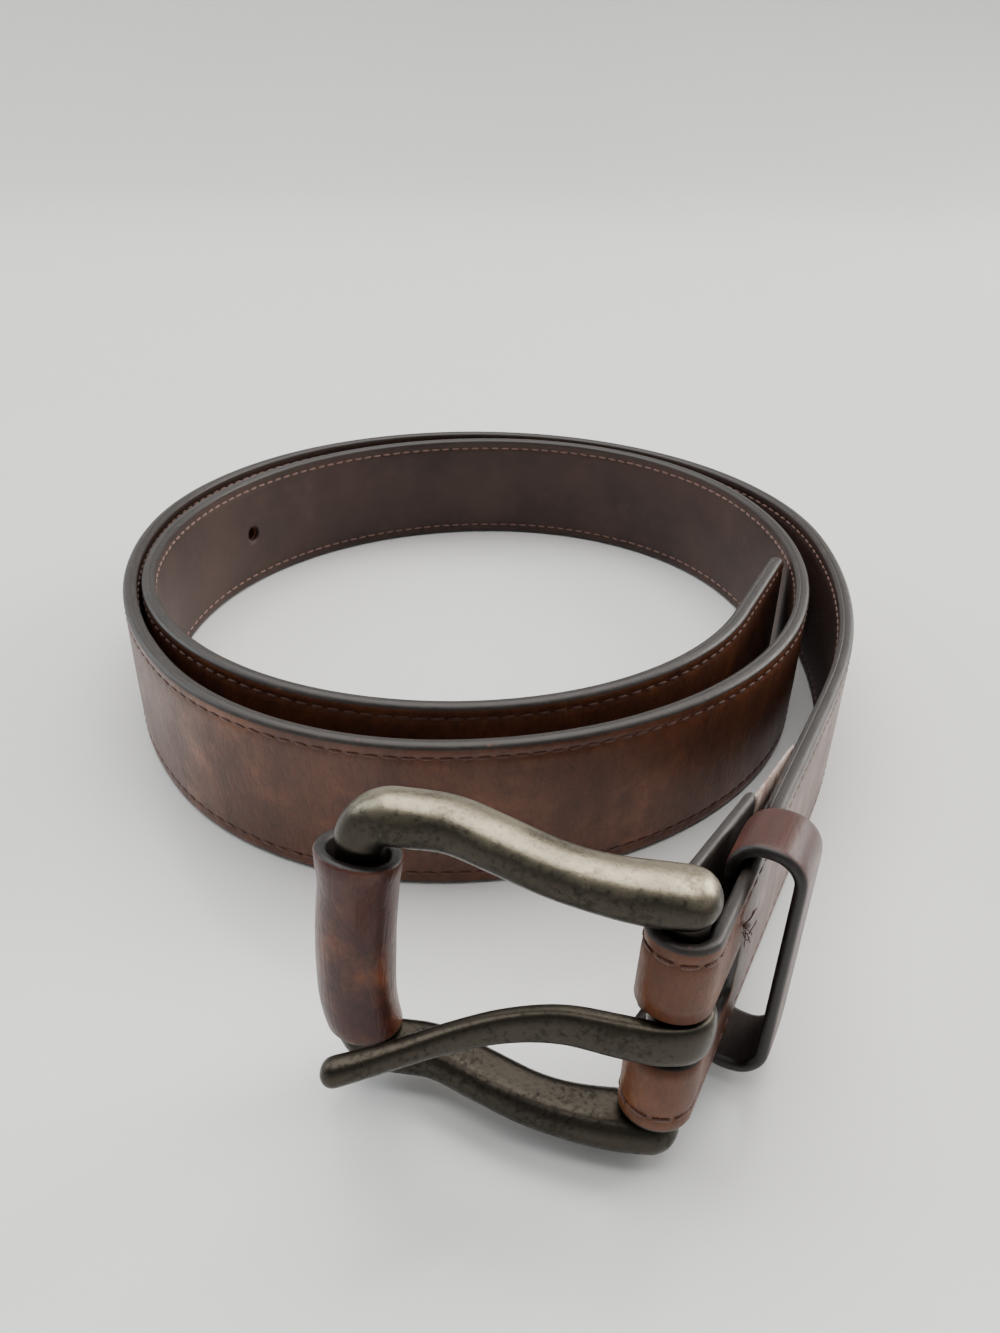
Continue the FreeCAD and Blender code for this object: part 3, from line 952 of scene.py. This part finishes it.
    def run_from_tip(self, distance: float) -> float:
        """Run on the outer face of a point at a mid-strap distance from the tip."""
        distance -= self.path.tail_run
        for start, length, _, _, radius in reversed(self.path.segments[1:-1]):
            middle_length = length * (radius - self.path.thickness / 2) / radius
            if distance <= middle_length:
                return start + length * (1 - distance / middle_length)
            distance -= middle_length
        return 0.0

    def cut_holes(self, skin: bpy.types.Object, cutter: bpy.types.Object) -> None:
        """Cuts the holes through one layer and keeps the result as its mesh."""
        cut = skin.modifiers.new("holes", "BOOLEAN")
        cut.operation, cut.solver, cut.object = "DIFFERENCE", "EXACT", cutter
        graph = bpy.context.evaluated_depsgraph_get()
        finished = bpy.data.meshes.new_from_object(skin.evaluated_get(graph))
        skin.modifiers.clear()
        skin.data = finished
        for polygon in finished.polygons:
            polygon.use_smooth = True

    def stitch_rows(self) -> None:
        """The rows of stitches on the face and on the lining, at both edges."""
        path = self.path
        face_end = path.tip - self.stitch_inset - 1
        rows = {
            "stitches_upper": (path.width - self.stitch_inset, "stitch_row_upper"),
            "stitches_lower": (self.stitch_inset, "stitch_row_lower"),
        }
        for name, (height, node) in rows.items():
            face = self.stitches(path.start + 6, face_end, height, 0.0)
            self.bench.finish(name, face, "strap", [self.finishes.thread], "thread", [node])
            back = self.stitches(path.lining_start + 24, face_end, height, path.thickness)
            self.bench.finish(name + "_lining", back, "strap", [self.finishes.pale_thread],
                              "thread")

    def stitches(self, start: float, stop: float, height: float,
                 depth: float) -> bmesh.types.BMesh:
        """One row of short raised stitches.

        Args:
            start: run where the row begins.
            stop: run where it ends.
            height: height of the row above the lower edge.
            depth: depth of the side it is sewn on, 0 for the face.

        Returns:
            The row as one bmesh.
        """
        chance = random.Random(int(height * 10 + depth * 7))
        single = bmesh.new()
        bmesh.ops.create_uvsphere(single, u_segments=8, v_segments=5, radius=1,
                                  matrix=Matrix.Rotation(math.pi / 2, 4, "Y"))
        stitch = bpy.data.meshes.new("stitch")
        single.to_mesh(stitch)
        single.free()
        mesh = bmesh.new()
        sink = 0.30 if depth == 0 else -0.30
        for index in range(int((stop - start) / self.stitch_pitch)):
            run = start + (index + 0.5) * self.stitch_pitch
            middle = self.bench.place(self.path.point(run, depth + sink, height))
            course = self.path.course(run, depth, height) + UP * chance.uniform(-0.06, 0.06)
            turn = (self.bench.frame.to_3x3() @ course).to_track_quat("X", "Z")
            half = self.stitch_length / 2 * chance.uniform(0.94, 1.05)
            scale = Matrix.Diagonal((half * MM, 0.34 * MM, 0.36 * MM, 1))
            copy = stitch.copy()
            copy.transform(Matrix.Translation(middle) @ turn.to_matrix().to_4x4() @ scale)
            mesh.from_mesh(copy)
            bpy.data.meshes.remove(copy)
        bpy.data.meshes.remove(stitch)
        return mesh

    def feather(self) -> None:
        """The torn thin end of the flap, parted from the strap behind the keeper."""
        path = self.path
        chance = random.Random(4)
        ragged = [chance.uniform(-2.2, 1.2) for _ in range(9)]
        lining_side = path.fold_inner - path.lining

        def shape(around: float, along: float) -> Vector:
            """Place of one corner of the grid."""
            columns = [(0.0, h) for h in (0.6, 5, 10, 15, 20, 25, 30, 34.4)]
            columns += [(1.0, h) for _, h in reversed(columns)]
            side, height = columns[round(around * 16) % 16]
            reach = 23 + ragged[int(height / 4.4)]
            run = path.flap_length - 0.6 + along * reach
            wave = 0.35 * math.sin(height * 0.7 + along * 5) * along
            inner = lining_side - path.flap_gap * (1 - along) ** 1.3 - 0.12 - wave * 0.4
            wall = (0.75 - 0.35 * along) * (1 - 0.6 * bump_at(1, 0.1, along))
            place = path.point(run, path.fold_outer - inner + side * wall, height)
            return self.bench.place(place)

        mesh = wrapped_grid(16, 14, shape, (0.07, 0.023))
        self.bench.finish("flap_torn_end", mesh, "strap", [self.finishes.raw], "face_leather")

    def loose_thread(self) -> None:
        """A knot of loose thread on the strap's face, with a few free hairs."""
        chance = random.Random(11)
        root = self.path.point(13, -0.2, self.path.width - 7)
        mesh = bmesh.new()
        for index in range(9):
            points = [root + Vector((0, chance.uniform(-1, 1), chance.uniform(-1, 1)))]
            course = Vector((0.5, chance.uniform(-0.9, 0.9), chance.uniform(-0.6, 0.6)))
            length = 1.0 if index else 0.6
            for _ in range(7):
                course += Vector([chance.uniform(-0.5, 0.5) for _ in range(3)])
                course.x = abs(course.x) * 0.6
                points.append(points[-1] + course.normalized() * length * 0.55)
            self.hair(mesh, points, 0.30 if index == 0 else 0.09)
        self.bench.finish("loose_thread", mesh, "strap", [self.finishes.thread], "thread")

    def hair(self, mesh: bmesh.types.BMesh, points: list[Vector], radius: float) -> None:
        """Thin closed tube through points, added to a mesh.

        Args:
            mesh: the mesh that it joins.
            points: its middle line, in the heel bar's frame.
            radius: its radius in millimetres.
        """
        before = None
        for index, point in enumerate(points):
            course = points[min(index + 1, len(points) - 1)] - points[max(index - 1, 0)]
            turn = course.to_track_quat("Z", "Y").to_matrix().to_4x4()
            ring = bmesh.ops.create_circle(
                mesh, cap_ends=index in (0, len(points) - 1), segments=5, radius=radius,
                matrix=self.bench.frame @ Matrix.Translation(point) @ turn)["verts"]
            edges = [e for e in mesh.edges if e.verts[0] in ring and e.verts[1] in ring]
            if before is not None:
                bmesh.ops.bridge_loops(mesh, edges=before + edges)
            before = edges


# --- metalwork and trim ------------------------------------------------------------------

@dataclass
class Station:
    """One ring of a swept bar: its centre, its two half axes and its squareness."""

    centre: Vector
    side: Vector
    rise: Vector
    half_side: float
    half_rise: float
    power: float = 2.0
    flat: float = 0.0


def bar(bench: Bench, stations: list[Station], segments: int = 28) -> bmesh.types.BMesh:
    """Closed bar through rings, with rounded-off poles where its ends shrink to nothing.

    Args:
        bench: gives the places in metres.
        stations: the rings, in order.
        segments: faces round the bar.

    Returns:
        The bar as a bmesh.
    """
    count = len(stations) - 1

    def shape(around: float, along: float) -> Vector:
        """Place of one corner of the grid."""
        ring = stations[round(along * count)]
        angle = 2 * math.pi * around
        across, up = math.cos(angle), math.sin(angle)
        norm = (abs(across) ** ring.power + abs(up) ** ring.power) ** (-1 / ring.power)
        across, up = across * norm, up * norm
        up = max(up, -1 + ring.flat) if ring.flat else up
        point = (ring.centre + ring.side * (across * ring.half_side)
                 + ring.rise * (up * ring.half_rise))
        return bench.place(point)

    length = sum((stations[i + 1].centre - stations[i].centre).length for i in range(count))
    around = 2 * math.pi * stations[count // 2].half_side
    return wrapped_grid(segments, count, shape, (around * MM, length * MM))


@dataclass
class Buckle:
    """Cast frame and the leather sleeve on its front bar."""

    bench: Bench
    finishes: Finishes
    reach: float = 49.4
    heading: float = 189.5
    height: float = 52
    arm: float = 8
    corner: float = 6
    heel_bar: float = 6.8
    heel_rings: tuple[float, ...] = (3, 6, 9, 26, 43, 46, 49)
    heel_cap: float = 4.4
    arm_steps: int = 26
    corner_steps: int = 9
    front_steps: int = 12
    front_bow: float = 0.6
    corner_side: float = 4.5
    squareness: float = 2.3
    girth: tuple[tuple[float, float, float], ...] = (
        (0, 5.2, 4.0), (0.12, 5.1, 4.1), (0.35, 4.5, 3.8), (0.7, 4.5, 3.9), (0.9, 4.7, 4.1),
        (1, 4.5, 4.3))
    sleeve_inner: float = 4.1
    sleeve_wall: float = 2.0
    sleeve_ends: tuple[float, float] = (8.8, 42.6)
    sleeve_faces: tuple[int, int] = (48, 40)
    sway: tuple[tuple[float, float], ...] = (
        (0, 0), (0.21, 2.0), (0.42, 2.4), (0.64, 0.6), (0.83, -1.2), (1, 0))
    upper_flare: float = 2.0
    lower_flare: float = -0.5
    lower_raise: float = 0.5
    lower_depth: float = 0.86

    def loop(self) -> list[Station]:
        """Rings from the upper heel end round the front bar to the lower heel end."""
        along = heading_vector(self.heading)
        left = left_of(along)
        straight = self.reach - self.corner
        half = self.arm / 2
        upper, lower = self.height - half, half
        top, foot = upper + self.upper_flare, lower - self.lower_flare
        stations: list[Station] = []

        def add_arm(height: float, shares: list[float], rise: Vector, flare: float,
                    depth: float = 1.0) -> None:
            """Adds the rings of one arm.

            Args:
                height: height of its middle at the heel.
                shares: shares along the arm, below 0 on its domed end.
                rise: direction of its outer side.
                flare: how far it climbs towards the front bar.
                depth: its thickness as a share of the girth's.
            """
            for share in shares:
                side = eased(self.sway, max(share, 0))[0]
                slope = (eased(self.sway, min(share + 0.02, 1))[0]
                         - eased(self.sway, max(share - 0.02, 0))[0]) / (0.04 * straight)
                half_side, half_rise = eased(self.girth, min(max(share, 0), 1))
                half_rise *= depth
                cap = 1.0
                if share < 0:
                    cap = math.sqrt(max(1 - (share * straight / self.heel_cap) ** 2, 0.0))
                out = (left - along * slope).normalized()
                centre = (along * (share * straight) + left * side
                          + UP * (height + flare * smooth_step(0, 0.8, share)))
                stations.append(Station(centre, out, rise, half_side * cap,
                                        half_rise * cap, self.squareness, 0.12))

        def add_corner(level: float, first_turn: float, half_rise: float) -> None:
            """Adds the rings between the two ends of a front corner.

            Args:
                level: height of the corner's centre.
                first_turn: turn from straight up where it begins, in degrees.
                half_rise: half the bar's thickness across the turn.
            """
            for step in range(1, self.corner_steps):
                turn = math.radians(first_turn + 90 * step / self.corner_steps)
                out = along * math.sin(turn) + UP * math.cos(turn)
                centre = (along * straight + UP * level) + out * self.corner
                stations.append(Station(centre, left, out, self.corner_side, half_rise,
                                        self.squareness, 0.1))

        caps = [-self.heel_cap / straight * math.sin(math.radians(a))
                for a in (90, 80, 65, 50, 35, 18)]
        shares = caps + [i / self.arm_steps for i in range(self.arm_steps + 1)]
        add_arm(upper, shares, UP, self.upper_flare)
        add_corner(top - self.corner, 0, 4.3)
        for step in range(self.front_steps + 1):
            share = step / self.front_steps
            drop = share * (top - foot - 2 * self.corner)
            bow = self.front_bow * math.sin(math.pi * share)
            centre = along * (self.reach + bow) + UP * (top - self.corner - drop)
            stations.append(Station(centre, left, along, half * 0.98, half * 0.98))
        add_corner(foot + self.corner, 90, 4.1)
        add_arm(lower + self.lower_raise, shares[::-1], -UP, -self.lower_flare,
                self.lower_depth)
        return stations

    def build(self) -> None:
        """Makes the frame with its heel bar, then the sleeve."""
        self.bench.finish("buckle_cast_frame", bar(self.bench, self.loop(), 32), "buckle",
                          [self.finishes.metal], "antique_metal", ["buckle_frame"],
                          rounded=True)
        radius = self.heel_bar / 2
        rings = [Station(UP * z, Vector((1, 0, 0)), Vector((0, 1, 0)), radius, radius)
                 for z in self.heel_rings]
        self.bench.finish("heel_bar", bar(self.bench, rings, 24), "buckle",
                          [self.finishes.metal], "antique_metal")
        self.sleeve()

    def sleeve(self) -> None:
        """Leather rolled round the front bar: bowed, creased, loose at its open top."""
        along = heading_vector(self.heading)
        left = left_of(along)
        low, high = self.sleeve_ends
        columns, rows = self.sleeve_faces
        outer = self.sleeve_inner + self.sleeve_wall
        mesh = bmesh.new()
        uv = mesh.loops.layers.uv.new("UVMap")
        bmesh.ops.create_grid(mesh, x_segments=columns, y_segments=rows, size=0.5)
        profile = self.sleeve_profile(outer, low, high, rows)
        for face in mesh.faces:
            for corner in face.loops:
                flat = corner.vert.co
                corner[uv].uv = ((flat.x + 0.5) * 0.039, (flat.y + 0.5) * 0.07)
            row = int((face.calc_center_median().y + 0.5) * rows)
            face.material_index = profile[row][2]
        for vert in mesh.verts:
            turn = 2 * math.pi * (vert.co.x + 0.5)
            radius, height, _ = profile[round((vert.co.y + 0.5) * rows) % rows]
            share = (height - low) / (high - low)
            outward = max(math.cos(turn), 0.0)
            bow = 1.0 * math.sin(math.pi * share)
            loose = smooth_step(0.8, 1.0, share)
            swell = 0.45 * math.sin(math.pi * min(max(share, 0), 1)) * outward
            crease = 0.5 * bump_at(0.40 + 0.03 * math.sin(turn * 2), 0.07, share) \
                * bump_at(5.3, 1.6, turn)
            wrinkle = 0.12 * math.sin(share * 21 + 3 * math.sin(turn)) * bump_at(5.0, 2.0, turn)
            reach = radius + swell + loose * (0.9 * outward + 0.25) - crease + wrinkle
            hook = 1.1 * max(1 - share / 0.22, 0.0) ** 2
            centre = along * (self.reach + bow * 0.6 - hook)
            tilt = 0.8 * math.sin(turn + 0.6) * loose
            point = (centre + along * (math.cos(turn) * reach * 1.03)
                     + left * (math.sin(turn) * reach) + UP * (height + tilt))
            vert.co = self.bench.place(point)
        bmesh.ops.remove_doubles(mesh, verts=[v for v in mesh.verts if v.is_boundary],
                                 dist=SEAM)
        # the sleeve's inside takes the near-black painted shade
        self.bench.finish("front_bar_sleeve", mesh, "buckle",
                          [self.finishes.sleeve, self.finishes.dark_edge,
                           self.finishes.flesh_painted_shade], "sleeve_leather", ["bar_sleeve"])

    def sleeve_profile(self, outer: float, low: float, high: float,
                       rows: int) -> list[tuple[float, float, int]]:
        """Closed profile of the sleeve's wall.

        Args:
            outer: radius of its outer side.
            low: height of its lower end.
            high: height of its upper end.
            rows: how many points the profile has.

        Returns:
            Rows of radius, height and side.
        """
        inner = self.sleeve_inner
        side = (rows - 6) // 2
        steps = [(high - low - 1.2) * i / (side - 1) for i in range(side)]
        up = [(outer, low + 0.6 + step, Side.LEATHER) for step in steps]
        rim = [(outer - 0.25, high - 0.15, Side.EDGE), ((outer + inner) / 2, high, Side.EDGE),
               (inner + 0.25, high - 0.15, Side.EDGE)]
        down = [(inner, high - 0.6 - step, Side.HIDDEN) for step in steps]
        hem = [(inner + 0.25, low + 0.15, Side.EDGE), ((outer + inner) / 2, low, Side.EDGE),
               (outer - 0.25, low + 0.15, Side.EDGE)]
        return up + rim + down + hem


@dataclass
class Prong:
    """Cast prong: a bar bent into an eye round the heel bar, swaying to a blunt tip."""

    bench: Bench
    finishes: Finishes
    length: float = 50.8
    heading: float = 216.6
    droop: float = 5
    middle: float = 26
    bore: float = 3.48
    wall: float = 3.4
    eye_height: float = 7.2
    eye_turn: tuple[float, float] = (312, 82)
    eye_steps: int = 30
    eye_end_steps: int = 5
    shank_start: float = 0.06
    shank_steps: int = 36
    blunt_from: float = 0.96
    shank: tuple[tuple[float, float, float, float], ...] = (
        (0.06, 4.75, 1.9, 3.5), (0.16, 2.2, 2.1, 3.45), (0.31, -1.6, 2.0, 3.15),
        (0.47, -3.0, 1.85, 2.75), (0.63, -2.5, 1.75, 2.4), (0.79, -1.1, 1.75, 2.1),
        (0.91, -0.2, 2.0, 2.1), (1.0, 0.3, 2.2, 2.2))

    def stations(self) -> list[Station]:
        """Rings from the free end of the eye, round the bar and out to the tip."""
        along = heading_vector(self.heading)
        left = left_of(along)
        radius = self.bore + self.wall / 2
        rings: list[Station] = []
        first, last = self.eye_turn
        for step in range(self.eye_steps + 1):
            angle = first + (last - first) * step / self.eye_steps
            spoke = heading_vector(self.heading + angle)
            cap = math.sqrt(1 - max(1 - step / self.eye_end_steps, 0.0) ** 2)
            rings.append(Station(spoke * radius + UP * self.middle, spoke, UP,
                                 self.wall / 2 * cap, self.eye_height / 2 * cap * 0.97, 2.8))
        foot, blunt = self.shank_start, self.blunt_from
        shares = [foot + (blunt - foot) * step / self.shank_steps
                  for step in range(self.shank_steps + 1)]
        shares += [blunt + (1 - blunt) * math.sin(math.radians(a))
                   for a in (18, 36, 54, 70, 82, 90)]
        for share in shares:
            side, half_side, half_rise = eased(self.shank, share)
            slope = (eased(self.shank, min(share + 0.01, 1))[0]
                     - eased(self.shank, max(share - 0.01, foot))[0]) / (0.02 * self.length)
            past = max(share - blunt, 0.0) / (1 - blunt)
            cap = math.sqrt(max(1 - past ** 2, 0.0))
            out = (left - along * slope).normalized()
            drop = self.droop * share ** 1.3
            centre = along * (share * self.length) + left * side + UP * (self.middle - drop)
            rings.append(Station(centre, out, UP, half_side * cap, half_rise * cap,
                                 2.3 + 0.4 * (1 - share)))
        return rings

    def build(self) -> None:
        """Makes the prong."""
        mesh = bar(self.bench, self.stations(), 28)
        self.bench.finish("buckle_prong", mesh, "prong", [self.finishes.metal],
                          "antique_metal", ["prong"], rounded=True)


@dataclass
class Keeper:
    """Closed leather band round the strap."""

    bench: Bench
    finishes: Finishes
    path: StrapPath
    start: float = 17
    width: float = 13.5
    wall: float = 2.2
    corner: float = 3.5
    clearance: float = 0.4
    gap: float = 5.5
    headroom: float = 2.6

    def outline(self) -> list[tuple[Vector, Vector]]:
        """Points on the inside of the band and their outward directions, all the way round."""
        inside = self.path.fold_inner - self.clearance
        outside = self.path.fold_outer + self.gap
        low = self.path.lift - self.headroom
        high = self.path.lift + self.path.width + self.headroom
        corners = [(outside - self.corner, high - self.corner, 0),
                   (inside + self.corner, high - self.corner, 90),
                   (inside + self.corner, low + self.corner, 180),
                   (outside - self.corner, low + self.corner, 270)]
        points = []
        for x, z, start in corners:
            for step in range(9):
                angle = math.radians(start + 90 * step / 8)
                out = Vector((math.cos(angle), 0, math.sin(angle)))
                points.append((Vector((x, 0, z)) + out * self.corner, out))
            end_x, end_z, _ = corners[(start // 90 + 1) % 4]
            last, out = points[-1]
            target = Vector((end_x, 0, end_z)) + out * self.corner
            runs = 12 if start in (90, 270) else 2
            for step in range(1, runs):
                points.append((last.lerp(target, step / runs), out))
        return points

    def build(self) -> None:
        """Makes the band."""
        points = self.outline()
        # share across the band and share of the wall, by side
        hidden = ((0.04, 0), (0.3, 0), (0.5, 0), (0.7, 0))
        far_edge = ((0.96, 0), (1.0, 0.25), (1.0, 0.75))
        outside = ((0.96, 1), (0.85, 1.03), (0.5, 1.05), (0.15, 1.03))
        near_edge = ((0.04, 1), (0.0, 0.75), (0.0, 0.25))
        section = [(*place, side) for places, side in (
            (hidden, Side.HIDDEN), (far_edge, Side.EDGE), (outside, Side.LEATHER),
            (near_edge, Side.EDGE)) for place in places]
        count = len(points)

        def shape(around: float, along: float) -> Vector:
            """Place of one corner of the grid."""
            across, wall, _ = section[round(around * len(section)) % len(section)]
            inner, out = points[round(along * count) % count]
            waist = 0.35 * math.sin(along * 2 * math.pi * 2 + 0.8)
            place = inner + out * (wall * self.wall)
            place += Vector((0, self.start + across * self.width + waist * (across - 0.5), 0))
            return self.bench.place(place)

        def zone(around: float, along: float) -> int:
            """Which side a face of the grid lies on."""
            return section[int(around * len(section)) % len(section)][2]

        mesh = wrapped_grid(len(section), count, shape, (0.032, 0.1), close_rows=True,
                            zone=zone)
        # the keeper's inside takes the near-black painted shade
        self.bench.finish("keeper_loop", mesh, "keeper",
                          [self.finishes.keeper, self.finishes.dark_edge,
                           self.finishes.flesh_painted_shade], "keeper_leather",
                          ["keeper_band"], rounded=True)


# --- studio ------------------------------------------------------------------------------

@dataclass
class Studio:
    """Table, soft lights and the camera, which is placed from the start of the coil."""

    coil_start: Vector
    view_heading: float = 116.2
    pitch: float = 30.3
    roll: float = 1.27
    lens: float = 27.0
    eye_height: float = 0.1452
    back_off: float = 0.1857
    side_off: float = 0.0742
    table_half: float = 3.0
    flat_radius: float = 1.4
    table_rise: float = 0.55

    def camera(self) -> None:
        """Camera above the near end of the belt, looking down across the coil."""
        ahead = heading_vector(self.view_heading)
        right = -left_of(ahead)
        eye = (self.coil_start - ahead * self.back_off - right * self.side_off
               + UP * self.eye_height)
        data = bpy.data.cameras.new("camera")
        data.lens, data.sensor_width, data.clip_start = self.lens, 36.0, 0.005
        camera = bpy.data.objects.new("camera", data)
        bpy.context.scene.collection.objects.link(camera)
        pitch = math.radians(self.pitch)
        look = ahead * math.cos(pitch) - UP * math.sin(pitch)
        turn = look.to_track_quat("-Z", "Y").to_matrix().to_4x4()
        camera.matrix_world = (Matrix.Translation(eye) @ turn
                               @ Matrix.Rotation(math.radians(self.roll), 4, "Z"))
        bpy.context.scene.camera = camera

    def table(self) -> None:
        """Large pale floor that curves up far away."""
        mesh = bmesh.new()
        bmesh.ops.create_grid(mesh, x_segments=60, y_segments=60, size=self.table_half)
        for vert in mesh.verts:
            away = max(math.hypot(vert.co.x, vert.co.y) - self.flat_radius, 0.0)
            vert.co.z = self.table_rise * away ** 2
        floor = new_object("table", mesh)
        floor.data.materials.append(Gloss("table_gloss", (0.95, 0.95, 0.94)).build())

    def lamp(self, name: str, place: tuple[float, float, float], size: float, power: float,
             colour: Colour) -> None:
        """Square area light that faces the belt.

        Args:
            name: the lamp's name.
            place: where it hangs, in metres.
            size: its side.
            power: its watts.
            colour: its colour.
        """
        data = bpy.data.lights.new(name, "AREA")
        data.size, data.energy, data.color = size, power, colour
        lamp = bpy.data.objects.new(name, data)
        bpy.context.scene.collection.objects.link(lamp)
        spot = Vector(place)
        lamp.location = spot
        lamp.rotation_euler = (-spot).to_track_quat("-Z", "Y").to_euler()

    def build(self) -> None:
        """Sets up everything around the belt."""
        self.camera()
        self.table()
        ahead = heading_vector(self.view_heading)
        right = -left_of(ahead)
        spots = {
            "ceiling": (ahead * 0.5 + UP * 1.6, 2.0, 44, (1.0, 0.98, 0.95)),
            "window_right": (ahead * 0.7 + right * 1.4 + UP * 0.8, 0.9, 20, (1.0, 0.97, 0.92)),
            "window_left": (ahead * 0.5 - right * 1.5 + UP * 0.9, 1.0, 10, (0.90, 0.96, 1.0)),
        }
        for name, (place, size, power, colour) in spots.items():
            self.lamp(name, tuple(place), size, power, colour)
        world = bpy.data.worlds.new("room")
        bpy.context.scene.world = world
        world.use_nodes = True
        background = world.node_tree.nodes["Background"]
        background.inputs[0].default_value = (0.86, 0.90, 0.92, 1)
        background.inputs[1].default_value = 0.30


def main() -> None:
    """Builds the belt's pieces in order."""
    logging.basicConfig(level=logging.INFO, format="%(relativeCreated)d ms %(name)s: %(message)s")
    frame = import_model()
    hinge = next(j for j in frame["joints"] if j["name"] == "buckle_swing")
    bench = Bench(Vector(hinge["pos_m"]), Vector(hinge["axis"]))
    finishes = Finishes()
    path = StrapPath()
    straight_end = path.climb_run + path.bend_run + path.level_run
    Studio(bench.place(path.point(straight_end, 0, 0))).build()
    Strap(bench, finishes, path).build()
    Buckle(bench, finishes).build()
    Prong(bench, finishes).build()
    Keeper(bench, finishes, path).build()
    staple = frame["nodes"]["keeper_staple"]
    for material_slot in staple.material_slots:
        material_slot.material = finishes.steel


if __name__ == "__main__":
    main()
